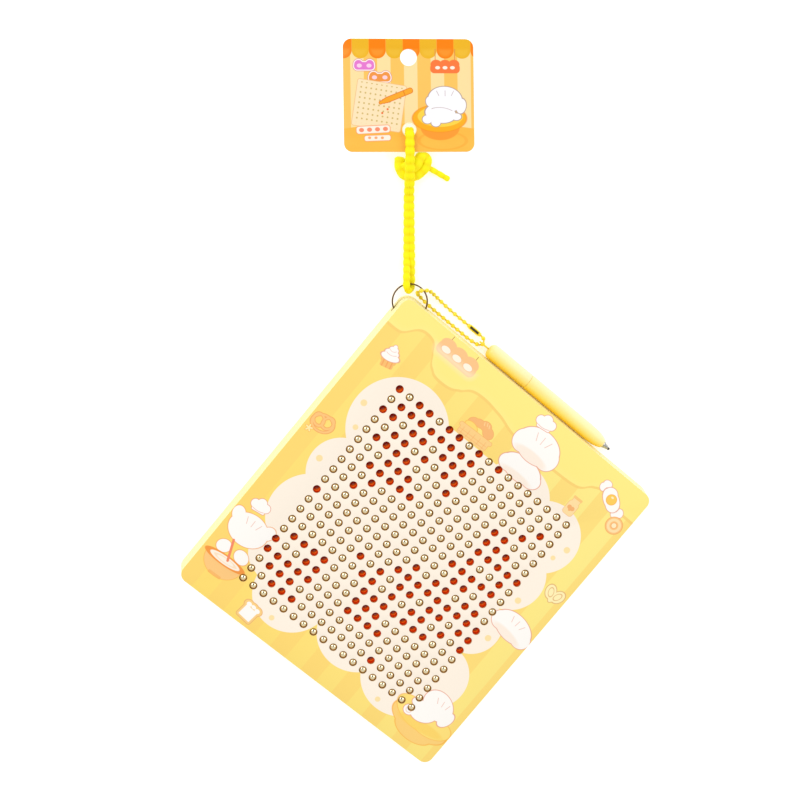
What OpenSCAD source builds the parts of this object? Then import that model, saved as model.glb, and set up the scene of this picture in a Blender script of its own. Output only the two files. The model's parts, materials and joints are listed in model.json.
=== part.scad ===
// Magnetic steel-ball drawing board with its pen on a ball chain, a key ring, a beaded strap
// and a card hang tag. The board lies on its back: +Z out of the printed face, +Y towards the
// pen, +X along the rows of holes. The origin is the centre of the back face.

/* [Board] */
// Width of the printed face along the rows
face_w = 125.4; // [100:0.2:160]
// Height of the printed face across the rows
face_h = 139.2; // [110:0.2:180]
// Thickness from the back face to the printed face
board_t = 12; // [10:0.2:16]
// Corner radius of the printed face
corner_r = 3.5; // [2:0.1:8]
// How far the side walls lean out from the face to the back
flare = 1.2; // [0.4:0.1:2]
// Bevel round the back edge
back_bevel = 0.8; // [0.4:0.1:1.2]
// Wall of the rear shell
wall = 2; // [1.4:0.1:3]
// Floor of the rear shell
floor_t = 1.8; // [1.2:0.1:3]
// Front panel plate
panel_t = 0.85; // [0.6:0.05:1.2]
// Printed sheet on the front panel
print_t = 0.15; // [0.1:0.05:0.4]
// Width of the blank edge round the printed sheet
print_inset = 0.3; // [0.1:0.1:1]
// Depth of the frame that locates the front panel
frame_h = 2.4; // [1:0.1:4]
// Thickness of the locating frame
frame_t = 1.2; // [0.8:0.1:2]
// Clearance between pieces that fit one in the other
fit = 0.1; // [0.05:0.05:0.3]

/* [Ball grid] */
// Distance between neighbouring balls, as many as fit between the borders
pitch = 5; // [4:0.1:8]
// Least width left of the first and right of the last column of balls
side_border = 20.2; // [14:0.1:30]
// Least height above the first row of balls
top_border = 29.2; // [22:0.1:40]
// Least height below the last row of balls
bottom_border = 15; // [12:0.1:30]
// Radius of a steel ball
ball_r = 1.6; // [1.2:0.05:2]
// How much smaller than the balls the holes in the front panel are
hole_lip = 0.05; // [0.03:0.01:0.1]
// Room between a raised ball and its hole's rim
seat_room = 0.067; // [0.05:0.001:0.1]
// Radial room round a ball in its cell
cell_gap = 0.15; // [0.1:0.01:0.3]
// How far a ball moves between raised and pressed down
ball_travel = 2.4; // [1.6:0.1:3]
// Border of the cell plate outside the outer holes
cell_border = 6; // [4:0.1:8]
// Magnet sheet under the cells
magnet_t = 0.5; // [0.3:0.1:1]
// Ribs that locate the cell plate
rib_t = 1.2; // [0.8:0.1:2]

/* [Key ring] */
// Outer radius of the split ring
ring_r = 7; // [5.8:0.1:8.6]
// Radial thickness of the ring's wire
wire_w = 0.9; // [0.6:0.1:1.2]
// Height of one turn of the ring's wire
wire_h = 0.8; // [0.6:0.1:1]
// Height of the ring's middle above the back face
ring_z = 4.5; // [4:0.1:6]
// Radius of the post that holds the ring
post_r = 1.4; // [1:0.1:1.8]
// Room above and below the ring in its slot
slot_gap = 0.4; // [0.2:0.1:0.8]
// Room round the ring in its slot
slot_room = 1; // [0.6:0.1:1.5]
// Play between the ring and its post
ring_play = 0.6; // [0.4:0.1:1]

/* [Pen] */
// Radius of the pen
pen_r = 3.05; // [2.5:0.05:4]
// Length of the pen's cap
cap_len = 20.4; // [15:0.2:30]
// Length of the pen's barrel
barrel_len = 39.4; // [30:0.2:55]
// Length of the metal point outside the barrel
point_len = 3.6; // [2:0.1:6]
// Wall of the pen's tubes
pen_wall = 0.9; // [0.6:0.1:1.3]
// Gap between the pen and the board's side
pen_gap = 0.1; // [0:0.1:2]
// Length of the magnet behind the point
magnet_len = 6; // [4:0.1:9]
// Length of the barrel's spigot in the cap
spigot_len = 7; // [4:0.1:10]
// Middle radius of the pen's wire eye
eye_r = 1.9; // [1.7:0.1:2.2]
// Radius of the eye's wire
eye_wire_r = 0.35; // [0.3:0.05:0.45]

/* [Ball chain] */
// Diameter of the chain's beads
bead_d = 1.5; // [1.2:0.1:1.7]

/* [Strap and tag] */
// Diameter of the strap's cord
cord_d = 2; // [1.6:0.1:2.2]
// Width of the card tag
tag_w = 49.3; // [40:0.1:60]
// Height of the card tag
tag_h = 42.4; // [35:0.1:60]
// Thickness of the card
tag_t = 0.6; // [0.4:0.1:1]
// Corner radius of the card
tag_r = 3.2; // [1:0.1:6]
// Room beside the doubled strap in the card's hole
strap_room = 0.4; // [0.3:0.1:1]
// Height of the strap's hole above the card's lower edge
strap_hole_up = 8.3; // [6:0.1:10]
// Radius of the hole that hangs the card on a shop's peg
peg_r = 3.15; // [2:0.05:4]
// Depth of the peg hole's centre under the card's upper edge
peg_down = 7; // [5:0.1:9]
// Tilt of the card, which leans on the knot
tag_tilt = 7; // [7:0.5:9]
// Direction of the strap away from the board
strap_turn = 40; // [30:0.5:50]

/* [Hidden] */
$fn = 64;
e = 0.05;
rest_gap = 0.02;

// Levels of the stack, from the printed face down
hole_r = ball_r - hole_lip;
panel_z = board_t - print_t - panel_t;
raised_z = panel_z - sqrt(pow(ball_r, 2) - pow(hole_r - seat_room, 2));
sunk_z = raised_z - ball_travel;
magnet_top = sunk_z - ball_r - fit;
foam_top = magnet_top - magnet_t;

// Outlines
back_w = face_w + 2 * flare;
back_h = face_h + 2 * flare;

// Rows and columns that fit, centred between the borders, in five bands of rows
cols = 1 + floor((face_w - 2 * side_border) / pitch + e);
rows = 1 + floor((face_h - top_border - bottom_border) / pitch + e);
bands = 5;
grid_w = (cols - 1) * pitch;
grid_h = (rows - 1) * pitch;
grid_y = (bottom_border - top_border) / 2;
plate_w = grid_w + 2 * cell_border;
plate_h = grid_h + 2 * cell_border;
plate_r = 2;

// The key ring goes round a post in the board's corner, and crosses the corner's edge
ring_in_x = 2.5;
ring_in_y = 1;
ring_x = ring_in_x - face_w / 2;
ring_y = face_h / 2 - ring_in_y;
post_off = (ring_r - wire_w - post_r - ring_play) / sqrt(2);
post_x = ring_x + post_off;
post_y = ring_y - post_off;
slot_r = ring_r + slot_room;
slot_low = ring_z - wire_h - slot_gap;
slot_h = 2 * (wire_h + slot_gap);
boss_wall = 1.8;
boss_w = flare + ring_in_x + slot_r + boss_wall;
boss_h = flare + ring_in_y + slot_r + boss_wall;

// The pen lies along the board's upper side
// Its cap starts as far along as the chain reaches
pen_y = face_h / 2 + flare + pen_gap + pen_r;
pen_z = pen_r + rest_gap;
pen_x = ring_x + 35.5;
cap_dome = 2.2;
cap_end = 4;
stem_len = 3;
taper = 8;
shoulder_r = pen_r - 0.35;
nose_r = pen_r - 1.35;
seat_r = nose_r - 0.5;
point_seat = 3;
tip_r = 0.6;

// The strap frame: along the strap from the tag's hole to the key ring's wire, across, up
strap_len = 58;
wire_mid_r = ring_r - wire_w / 2;
hole_x = ring_x - (strap_len + wire_mid_r) * sin(strap_turn);
hole_y = ring_y + (strap_len + wire_mid_r) * cos(strap_turn);
card_lift = 0.35;
tag_z = card_lift + (tag_h - strap_hole_up) * sin(tag_tilt);
strap_hole_r = cord_d + strap_room;

// Lumps of the knot behind the tag: along, across, radius
knot_lumps = [[8.8, 2, 2.2], [10.8, -2.1, 2.3], [11.2, 6.6, 2.3], [14.8, 3, 2.3]];

// The strap's route: out of the knot, up through the tag's hole, down to the ring, over its
// wire, back under it, and up to the knot again the same way
strap_route = [
    [7, -0.8, 2.2], [4.4, -1, 2], [2, -1, 2.4], [0.6, -1, 3.4], [0, -1, 4.8], [0.5, -1, 6.1],
    [2, -1, 6.9], [5, -1, 7.2], [9, -1, 7.4], [13, -1, 6.9], [16, -1, 6], [19, -1, 4.8],
    [22, -1, 3], [25, -1, 1.7], [28, -1, 1.15], [32, -1, 1.05], [36, -1, 1.05], [40, -1, 1.05],
    [44, -1, 1.2], [48, -1, 2], [51.5, -1, 3.8], [54.6, -1, 5.8], [57.4, -1, 6.8],
    [59.5, -0.7, 6.3], [60.3, -0.1, 4.6], [59.5, 0.6, 2.8], [57.4, 1, 2], [54, 1.1, 1.6],
    [50, 1.1, 1.1], [45, 1.1, 1.05], [40, 1.1, 1.05], [36, 1.1, 1.05], [32, 1.1, 1.05],
    [28, 1.1, 1.15], [25, 1.1, 1.7], [22, 1.1, 3], [19, 1.1, 4.8], [16, 1.1, 6],
    [13, 1.1, 6.9], [9, 1.1, 7.4], [5, 1.1, 7.2], [2, 1.1, 6.9], [0.5, 1.1, 6.1],
    [0, 1.1, 4.8], [0.6, 1.1, 3.4], [2, 1.1, 2.4], [4.4, 1.2, 2], [7, 1.4, 2.2]
];

// The strap's free end, out of the knot
tail_route = [[12.6, 5, 2.3], [13.8, 7.4, 1.8], [15.2, 10, 1.3], [16.8, 12.8, 1.05], [18.4, 15.6, 1.05]];

// The chain's route from the ring's centre: out of the connector to the ring, over its wire,
// down inside it, back under it along the board, through the pen's eye, into the connector
chain_route = [
    [24.6, 7.4, 0.8], [21, 7.4, 0.8], [17, 7.4, 0.8], [13, 7.5, 0.8], [9.6, 7.7, 1], [7.2, 7.9, 1.9],
    [5.2, 8, 3.4], [3.4, 7.9, 5.2], [1.9, 7.2, 6.5], [0.7, 6.1, 6.8], [0.1, 4.9, 6.1],
    [0.2, 4.3, 4.6], [0.9, 4.1, 3], [2.2, 3.9, 1.6], [4, 3.7, 0.9], [7, 3.5, 0.8], [11, 3.4, 0.8],
    [15, 3.4, 0.8], [19, 3.4, 0.8], [23, 3.4, 0.8], [26.6, 3.4, 1], [29.4, 3.6, 1.8],
    [31.6, 4.1, 2.8], [32.7, 5.35, 3.1], [32, 6.9, 2.6], [30.6, 7.4, 1.6], [29.4, 7.4, 0.9]
];
connector_len = 5.2;
connector_wall = 0.25;
connector_end = 0.4;
connector_x = 24.4;
connector_y = 7.4;

function unit(v) = v / norm(v);
function tangent(p, i) = unit(p[min(i + 1, len(p) - 1)] - p[max(i - 1, 0)]);
function carried(n, t) = unit(n - (n * t) * t);
function normals(p, n0) = [
    for (
        i = 0, n = carried(n0, tangent(p, 0));
        i < len(p);
        i = i + 1, n = carried(n, tangent(p, min(i, len(p) - 1)))
    ) n
];

// A balls-down doodle: true where the ball in column c of row r is pressed down
strokes = [
    [4.5, 2, 4.6], [14.8, 5.2, 2.7], [3.8, 5.6, 2.2], [14.4, 11.2, 3.7], [9.6, 13.6, 2.9], [2, 16.2, 2.8]
];
function in_stroke(c, r) = max([for (s = strokes) norm([c - s[0], r - s[1]]) < s[2] ? 1 : 0]) == 1;
function dither(c, r) = (7 * c + 11 * r + 3 * c * r) % 10;
function pressed(c, r) = dither(c, r) < (in_stroke(c, r) ? 7 : 1);

function cell(c, r) = [(c - (cols - 1) / 2) * pitch, grid_y + ((rows - 1) / 2 - r) * pitch];

// A rectangle with round corners
module rounded(w, h, r) {
    square([w - 2 * r, h], center = true);
    square([w, h - 2 * r], center = true);
    for (x = [-1, 1], y = [-1, 1])
        translate([x * (w / 2 - r), y * (h / 2 - r)])
            circle(r = r);
}

// A plate with round corners between two levels
module plate(w, h, r, z0, z1) {
    translate([0, 0, z0])
        linear_extrude(z1 - z0)
            rounded(w, h, r);
}

// One round hole or disc at every ball
module grid(r, z0, z1) {
    translate([0, 0, z0])
        linear_extrude(z1 - z0)
            for (c = [0:cols - 1], i = [0:rows - 1])
                translate(cell(c, i))
                    circle(r = r, $fn = 32);
}

// A tube swept along a route
module tube(p, d, sides = 8) {
    n = normals(p, [0.2, 0.3, 1]);
    points = [
        for (i = [0:len(p) - 1], k = [0:sides - 1])
            p[i] + d / 2 * (cos(360 * k / sides) * n[i] + sin(360 * k / sides) * cross(tangent(p, i), n[i]))
    ];
    last = (len(p) - 1) * sides;
    faces = concat(
        [[for (k = [0:sides - 1]) k]],
        [
            for (i = [0:len(p) - 2], k = [0:sides - 1])
                let (a = i * sides, b = (k + 1) % sides)
                    [a + k, a + sides + k, a + sides + b, a + b]
        ],
        [[for (k = [sides - 1:-1:0]) last + k]]
    );
    polyhedron(points, faces, convexity = 10);
}

// The strap's own frame
module on_strap() {
    translate([hole_x, hole_y, 0])
        rotate(strap_turn - 90)
            children();
}

module shell_outside() {
    hull() {
        plate(
            back_w - 2 * back_bevel, back_h - 2 * back_bevel, corner_r + flare - back_bevel, 0, e,
            $fn = 32
        );
        plate(back_w, back_h, corner_r + flare, back_bevel, back_bevel + e, $fn = 32);
        plate(face_w, face_h, corner_r, panel_z - e, panel_z, $fn = 32);
    }
}

// Solid corner that carries the ring's post, and the room for it in other pieces
module corner_boss(room = 0, top = panel_z) {
    translate([-back_w / 2, back_h / 2 - boss_h - room, 0])
        cube([boss_w + room, boss_h + room, top]);
}

// Walls that locate the cell plate
module ribs() {
    difference() {
        plate(
            plate_w + 2 * (fit + rib_t), plate_h + 2 * (fit + rib_t), plate_r + rib_t,
            floor_t - e, panel_z - e
        );
        plate(plate_w + 2 * fit, plate_h + 2 * fit, plate_r, floor_t - 2 * e, panel_z);
    }
}

module rear_shell() {
    color("khaki") {
        difference() {
            shell_outside();
            difference() {
                plate(face_w - 2 * wall, face_h - 2 * wall, corner_r, floor_t, panel_z + 1);
                corner_boss();
            }
            translate([ring_x, ring_y, slot_low])
                cylinder(r = slot_r, h = slot_h);
        }
        translate([post_x, post_y, slot_low - e])
            cylinder(r = post_r, h = slot_h + 2 * e);
        translate([0, grid_y, 0])
            ribs();
    }
}

module front_panel() {
    color("lightgoldenrodyellow")
        difference() {
            plate(face_w, face_h, corner_r, panel_z, panel_z + panel_t);
            grid(hole_r, panel_z - 1, board_t);
        }
}

// The frame glued under the front panel, which locates it between the shell's walls
module locating_frame() {
    frame_w = face_w - 2 * (wall + fit);
    frame_d = face_h - 2 * (wall + fit);
    color("lightgoldenrodyellow")
        difference() {
            plate(frame_w, frame_d, corner_r - fit, panel_z - frame_h, panel_z);
            plate(frame_w - 2 * frame_t, frame_d - 2 * frame_t, corner_r - fit, 0, board_t);
            corner_boss(fit, board_t);
        }
}

module printed_sheet() {
    color("moccasin")
        difference() {
            plate(
                face_w - 2 * print_inset, face_h - 2 * print_inset, corner_r - print_inset,
                board_t - print_t, board_t
            );
            grid(hole_r, board_t - 1, board_t + 1);
        }
}

module cell_plate() {
    color("orangered")
        translate([0, 0, magnet_top])
            difference() {
                translate([0, grid_y, 0])
                    plate(plate_w, plate_h, plate_r, 0, panel_z - magnet_top);
                grid(ball_r + cell_gap, -1, board_t);
            }
}

module magnet_sheet() {
    color("dimgray")
        translate([0, grid_y, 0])
            plate(plate_w, plate_h, plate_r, foam_top, magnet_top);
}

module foam_pad() {
    color("white")
        translate([0, grid_y, 0])
            plate(plate_w, plate_h, plate_r, floor_t, foam_top);
}

// The balls of one band of rows that are up, or that are pressed down
module balls(band, down) {
    color("silver")
        for (r = [floor((band - 1) * rows / bands):floor(band * rows / bands) - 1], c = [0:cols - 1])
            if (pressed(c, r) == down)
                translate(concat(cell(c, r), down ? sunk_z : raised_z))
                    sphere(r = ball_r, $fn = 24);
}

module key_ring() {
    color("dimgray")
        translate([ring_x, ring_y, ring_z - wire_h])
            difference() {
                cylinder(r = ring_r, h = 2 * wire_h);
                translate([0, 0, -1])
                    cylinder(r = ring_r - wire_w, h = 2 * wire_h + 2);
            }
}

module ball_chain() {
    color("gold")
        translate([ring_x, ring_y, 0])
            tube(chain_route, bead_d);
}

// The half-open barrel that joins the chain's two ends
module chain_connector() {
    color("gold")
        translate([ring_x + connector_x, ring_y + connector_y, bead_d / 2 + connector_wall])
            rotate([0, 90, 0])
                difference() {
                    cylinder(r = bead_d / 2 + connector_wall, h = connector_len);
                    translate([0, 0, connector_end])
                        cylinder(r = bead_d / 2, h = connector_len);
                }
}

// The wire eye in the end of the pen's cap
module pen_eye() {
    color("gold")
        translate([pen_x, pen_y, pen_z]) {
            translate([-eye_r - eye_wire_r, 0, 0])
                rotate([90, 0, 0])
                    rotate_extrude()
                        translate([eye_r, 0])
                            circle(r = eye_wire_r, $fn = 16);
            rotate([0, 90, 0])
                translate([0, 0, -eye_wire_r])
                    cylinder(r = eye_wire_r, h = eye_wire_r + stem_len, $fn = 24);
        }
}

// Pieces of the pen are turned about its axis, from the eye end
module on_pen() {
    translate([pen_x, pen_y, pen_z])
        rotate([0, 90, 0])
            rotate_extrude()
                children();
}

module pen_cap() {
    color("lightgoldenrodyellow")
        difference() {
            on_pen()
                difference() {
                    union() {
                        translate([0, cap_dome])
                            square([pen_r, cap_len - cap_dome]);
                        intersection() {
                            translate([0, cap_dome])
                                scale([pen_r / cap_dome, 1])
                                    circle(r = cap_dome);
                            square([pen_r, cap_dome]);
                        }
                    }
                    translate([0, cap_end])
                        square([pen_r - pen_wall, cap_len]);
                }
            translate([pen_x - e, pen_y, pen_z])
                rotate([0, 90, 0])
                    cylinder(r = eye_wire_r, h = cap_end + 2 * e, $fn = 24);
        }
}

// The barrel, with a spigot that the cap is pushed on
module pen_barrel() {
    spigot_r = pen_r - pen_wall - fit;
    bore_r = spigot_r - pen_wall / 2;
    color("lightgoldenrodyellow")
        on_pen()
            translate([0, cap_len])
                difference() {
                    polygon([
                        [0, -spigot_len], [spigot_r, -spigot_len], [spigot_r, e], [pen_r, e],
                        [pen_r, barrel_len - taper], [shoulder_r, barrel_len - taper / 3],
                        [nose_r, barrel_len], [0, barrel_len]
                    ]);
                    translate([-e, -spigot_len - e])
                        square([bore_r + e, barrel_len - taper + spigot_len + e]);
                    translate([-e, barrel_len - point_seat])
                        square([seat_r + e, point_seat + e]);
                }
}

module pen_point() {
    color("silver")
        on_pen()
            translate([0, cap_len + barrel_len])
                polygon([
                    [0, -point_seat], [seat_r, -point_seat], [seat_r, 0], [nose_r - 0.2, 0],
                    [nose_r - 0.4, 0.8], [tip_r, point_len - 0.8], [tip_r, point_len], [0, point_len]
                ]);
}

module pen_magnet() {
    color("silver")
        on_pen()
            translate([0, cap_len + barrel_len - taper - magnet_len])
                square([pen_r - 1.5 * pen_wall - fit, magnet_len]);
}

module strap() {
    color("yellow")
        on_strap()
            tube(strap_route, cord_d);
}

module strap_knot() {
    color("gold")
        on_strap()
            hull()
                for (k = knot_lumps)
                    translate([k[0], k[1], k[2] + rest_gap])
                        sphere(r = k[2], $fn = 16);
}

module strap_tail() {
    color("yellow")
        on_strap()
            tube(tail_route, cord_d);
}

module hang_tag() {
    color("orange")
        on_strap()
            translate([0, 0, tag_z])
                rotate([0, -tag_tilt, 0])
                    difference() {
                        translate([strap_hole_up - tag_h / 2, 0, 0])
                            rotate(90)
                                plate(tag_w, tag_h, tag_r, 0, tag_t);
                        translate([0, 0, -1])
                            cylinder(r = strap_hole_r, h = tag_t + 2);
                        translate([strap_hole_up - tag_h + peg_down, 0, -1])
                            cylinder(r = peg_r, h = tag_t + 2);
                    }
}

rear_shell();
front_panel();
locating_frame();
printed_sheet();
cell_plate();
magnet_sheet();
foam_pad();
balls(1, false);  // raised_balls_1
balls(2, false);  // raised_balls_2
balls(3, false);  // raised_balls_3
balls(4, false);  // raised_balls_4
balls(5, false);  // raised_balls_5
balls(1, true);  // sunk_balls_1
balls(2, true);  // sunk_balls_2
balls(3, true);  // sunk_balls_3
balls(4, true);  // sunk_balls_4
balls(5, true);  // sunk_balls_5
key_ring();
ball_chain();
chain_connector();
pen_eye();
pen_cap();
pen_barrel();
pen_point();
pen_magnet();
strap();
strap_knot();
strap_tail();
hang_tag();
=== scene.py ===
"""Finishes a magnetic ball drawing board: its printed face, steel balls, pen on a ball chain, split
ring, beaded strap and card hang tag. Sizes in the code are millimetres until a piece is finished."""

import json
import math
from functools import reduce
from types import SimpleNamespace

import bmesh
import bpy
from bpy.props import FloatProperty, FloatVectorProperty, IntProperty, PointerProperty
from bpy.types import Operator, Panel, PropertyGroup
from mathutils import Matrix, Vector


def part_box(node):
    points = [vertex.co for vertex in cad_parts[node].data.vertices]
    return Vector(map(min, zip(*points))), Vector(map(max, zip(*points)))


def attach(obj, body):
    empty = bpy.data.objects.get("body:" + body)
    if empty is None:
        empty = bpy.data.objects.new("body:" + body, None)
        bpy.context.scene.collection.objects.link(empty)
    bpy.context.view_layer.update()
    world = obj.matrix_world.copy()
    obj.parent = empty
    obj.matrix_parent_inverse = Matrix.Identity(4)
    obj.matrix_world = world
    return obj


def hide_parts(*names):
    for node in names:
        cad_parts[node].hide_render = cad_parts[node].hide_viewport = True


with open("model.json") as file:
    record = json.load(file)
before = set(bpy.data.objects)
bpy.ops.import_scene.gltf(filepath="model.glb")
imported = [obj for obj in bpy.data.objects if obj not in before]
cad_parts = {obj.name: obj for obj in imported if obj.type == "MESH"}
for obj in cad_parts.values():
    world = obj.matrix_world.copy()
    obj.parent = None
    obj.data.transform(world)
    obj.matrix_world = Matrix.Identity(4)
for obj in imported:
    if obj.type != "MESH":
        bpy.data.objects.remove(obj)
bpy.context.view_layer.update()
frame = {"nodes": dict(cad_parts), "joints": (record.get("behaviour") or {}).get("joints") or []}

bl_info = {
    "name": "Magnetic Ball Drawing Board",
    "version": (1, 0, 0),
    "blender": (4, 5, 0),
    "location": "3D View > Sidebar > Ball Board",
    "description": "Finishes the packed drawing board with its pen, chain, ring, strap and tag",
    "category": "Object",
}

MM = 0.001
JOINTS = {joint["name"]: joint for joint in frame["joints"]}


def box_mm(node):
    low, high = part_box(node)
    return Vector(low) / MM, Vector(high) / MM


# Places of the CAD pieces
FACE_HIGH = box_mm("printed_sheet")[1]
PANEL_LOW, PANEL_HIGH = box_mm("front_panel")
RING_LOW, RING_HIGH = box_mm("key_ring")
RING = (RING_LOW + RING_HIGH) / 2
CAP_LOW, CAP_HIGH = box_mm("pen_cap")
PEN_RADIUS = (CAP_HIGH.z - CAP_LOW.z) / 2
PEN_START = Vector((CAP_LOW.x, (CAP_LOW.y + CAP_HIGH.y) / 2, (CAP_LOW.z + CAP_HIGH.z) / 2))
TAG_HOLE = Vector(JOINTS["tag_turn"]["pos_m"]) / MM
CARD_NORMAL = Vector(JOINTS["tag_turn"]["axis"]).normalized()

# The strap runs from the tag's hole down to the ring: along it, across it and up
ALONG = -Vector((CARD_NORMAL.x, CARD_NORMAL.y, 0)).normalized()
ACROSS = Vector((-ALONG.y, ALONG.x, 0))
CARD_TURN = Matrix((ACROSS, CARD_NORMAL.cross(ACROSS), CARD_NORMAL)).transposed()

STRAP_ROUTE = [
    (7, -0.8, 2.2), (4.4, -1, 2), (2, -1, 2.4), (0.6, -1, 3.4), (0, -1, 4.8), (0.5, -1, 6.1),
    (2, -1, 6.9), (5, -1, 7.2), (9, -1, 7.4), (13, -1, 6.9), (16, -1, 6), (19, -1, 4.8),
    (22, -1, 3), (25, -1, 1.7), (28, -1, 1.15), (32, -1, 1.05), (36, -1, 1.05), (40, -1, 1.05),
    (44, -1, 1.2), (48, -1.1, 2), (51.5, -1.2, 3.8), (54.6, -1.4, 5.8), (57.4, -1.5, 6.8),
    (59.5, -1.2, 6.3), (60.3, -0.3, 4.6), (59.5, 0.6, 2.8), (57.4, 0.9, 2), (54, 1, 1.6),
    (50, 1.1, 1.1), (45, 1.1, 1.05), (40, 1.1, 1.05), (36, 1.1, 1.05), (32, 1.1, 1.05),
    (28, 1.1, 1.15), (25, 1.1, 1.7), (22, 1.1, 3), (19, 1.1, 4.8), (16, 1.1, 6),
    (13, 1.1, 6.9), (9, 1.1, 7.4), (5, 1.1, 7.2), (2, 1.1, 6.9), (0.5, 1.1, 6.1),
    (0, 1.1, 4.8), (0.6, 1.1, 3.4), (2, 1.1, 2.4), (4.4, 1.2, 2), (7, 1.4, 2.2),
]
STRAP_REACH = max(point[0] for point in STRAP_ROUTE)
TAIL_ROUTE = [
    (11.4, 3.6, 2.4), (12.6, 5, 2.3), (13.8, 7.4, 1.8), (15.2, 10, 1.3),
    (16.8, 12.8, 1.05), (18.4, 15.6, 1.05),
]
KNOT_ROUTE = [
    (9.8, -3.2, 2.1), (12.4, -3.5, 2.2), (15.2, -2.8, 2.3), (17, -0.6, 2.3), (17, 1.8, 2.3),
    (15.6, 4.4, 2.3), (13.2, 6.4, 2.3), (10.6, 6.6, 2.4), (9.8, 4.8, 3.2), (11.4, 3.4, 4.1),
    (13.6, 2, 4.2), (13.8, -0.4, 4.2), (11.8, -1.6, 4.1),
]
CHAIN_ROUTE = [
    (24.6, 7.4, 0.8), (21, 7.4, 0.8), (17, 7.4, 0.8), (13, 7.5, 0.8), (9.6, 7.7, 1), (7.2, 7.9, 1.9),
    (5.2, 8, 3.4), (3.4, 7.9, 5.2), (1.9, 7.2, 6.5), (0.7, 6.1, 6.8), (0.1, 4.9, 6.1),
    (0.2, 4.3, 4.6), (0.9, 4.1, 3), (2.2, 3.9, 1.6), (4, 3.7, 0.9), (7, 3.5, 0.8), (11, 3.4, 0.8),
    (15, 3.4, 0.8), (19, 3.4, 0.8), (23, 3.4, 0.8), (26.6, 3.4, 1), (29.4, 3.6, 1.8),
    (31.6, 4.1, 2.8), (32.7, 5.35, 3.1), (32, 6.9, 2.6), (30.6, 7.4, 1.6), (29.4, 7.4, 0.9),
]

# The camera's place, the way it looks and its right-hand side
VIEW_FROM = Vector((-109.1, 68.2, 487.8))
VIEW_AHEAD = Vector((0.1439, -0.0642, -0.9875))
VIEW_RIGHT = Vector((0.7672, 0.6376, 0.0703))

# The stage, in metres: the floor just under the board, and the dark disc that steel balls reflect
FLOOR_REACH = 3.0
FLOOR_DROP = 0.00002
CAMERA_BODY = (-0.03, 0.05, 0)
CAMERA_BODY_RADIUS = 0.2

# Numbers of sides and steps
CURVE_STEPS = 24
CORD_SIDES = 12
WIRE_SIDES = 10
LATHE_STEPS = 32
BALL_SEGMENTS, BALL_RINGS = 12, 8
CORNER_STEPS = 8
RING_STEPS = 192
RING_START = 118

# Shares of the radius at the outermost rings of a strand, so that it ends round
ROUND_ENDS = ((0, 0.55), (1, 0.85), (-1, 0.55), (-2, 0.85))


def on_strap(point):
    along, across, up = point
    return Vector((TAG_HOLE.x, TAG_HOLE.y, 0)) + along * ALONG + across * ACROSS + Vector((0, 0, up))


def by_ring(point):
    return Vector((RING.x, RING.y, 0)) + Vector(point)


def light(red, green, blue):
    """The linear colour of a screen colour from 0 to 255."""
    return tuple(
        c / 255 / 12.92 if c / 255 <= 0.04045 else ((c / 255 + 0.055) / 1.055) ** 2.4
        for c in (red, green, blue)
    )


# ---------------------------------------------------------------- materials


class Amount:
    """A number that changes over a surface. Arithmetic on it adds Math nodes, | joins two shapes and
    & keeps what they share."""

    def __init__(self, finish, socket):
        self.finish, self.socket = finish, socket

    def math(self, operation, *values, clamp=False):
        node = self.finish.node("Math", {"operation": operation, "use_clamp": clamp}, *values)
        return Amount(self.finish, node.outputs[0])

    def __add__(self, other):
        return self.math("ADD", self, other)

    def __sub__(self, other):
        return self.math("SUBTRACT", self, other)

    def __mul__(self, other):
        return self.math("MULTIPLY", self, other)

    def __truediv__(self, other):
        return self.math("DIVIDE", self, other)

    def __or__(self, other):
        return self.math("MINIMUM", self, other)

    def __and__(self, other):
        return self.math("MAXIMUM", self, other)

    def size(self):
        return self.math("ABSOLUTE", self)

    def sine(self):
        return self.math("SINE", self)

    def root(self):
        return self.math("SQRT", self)

    def share(self):
        return self.math("ADD", self, 0, clamp=True)

    def inside(self, soft=0.12):
        """1 where the distance is negative and 0 outside, with a soft edge."""
        return self.math("MULTIPLY_ADD", self, -1 / soft, 0.5, clamp=True)

    def band(self, width, soft=0.12):
        """1 on a line of that width along the shape's edge."""
        return (self.size() - width / 2).inside(soft)


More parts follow.
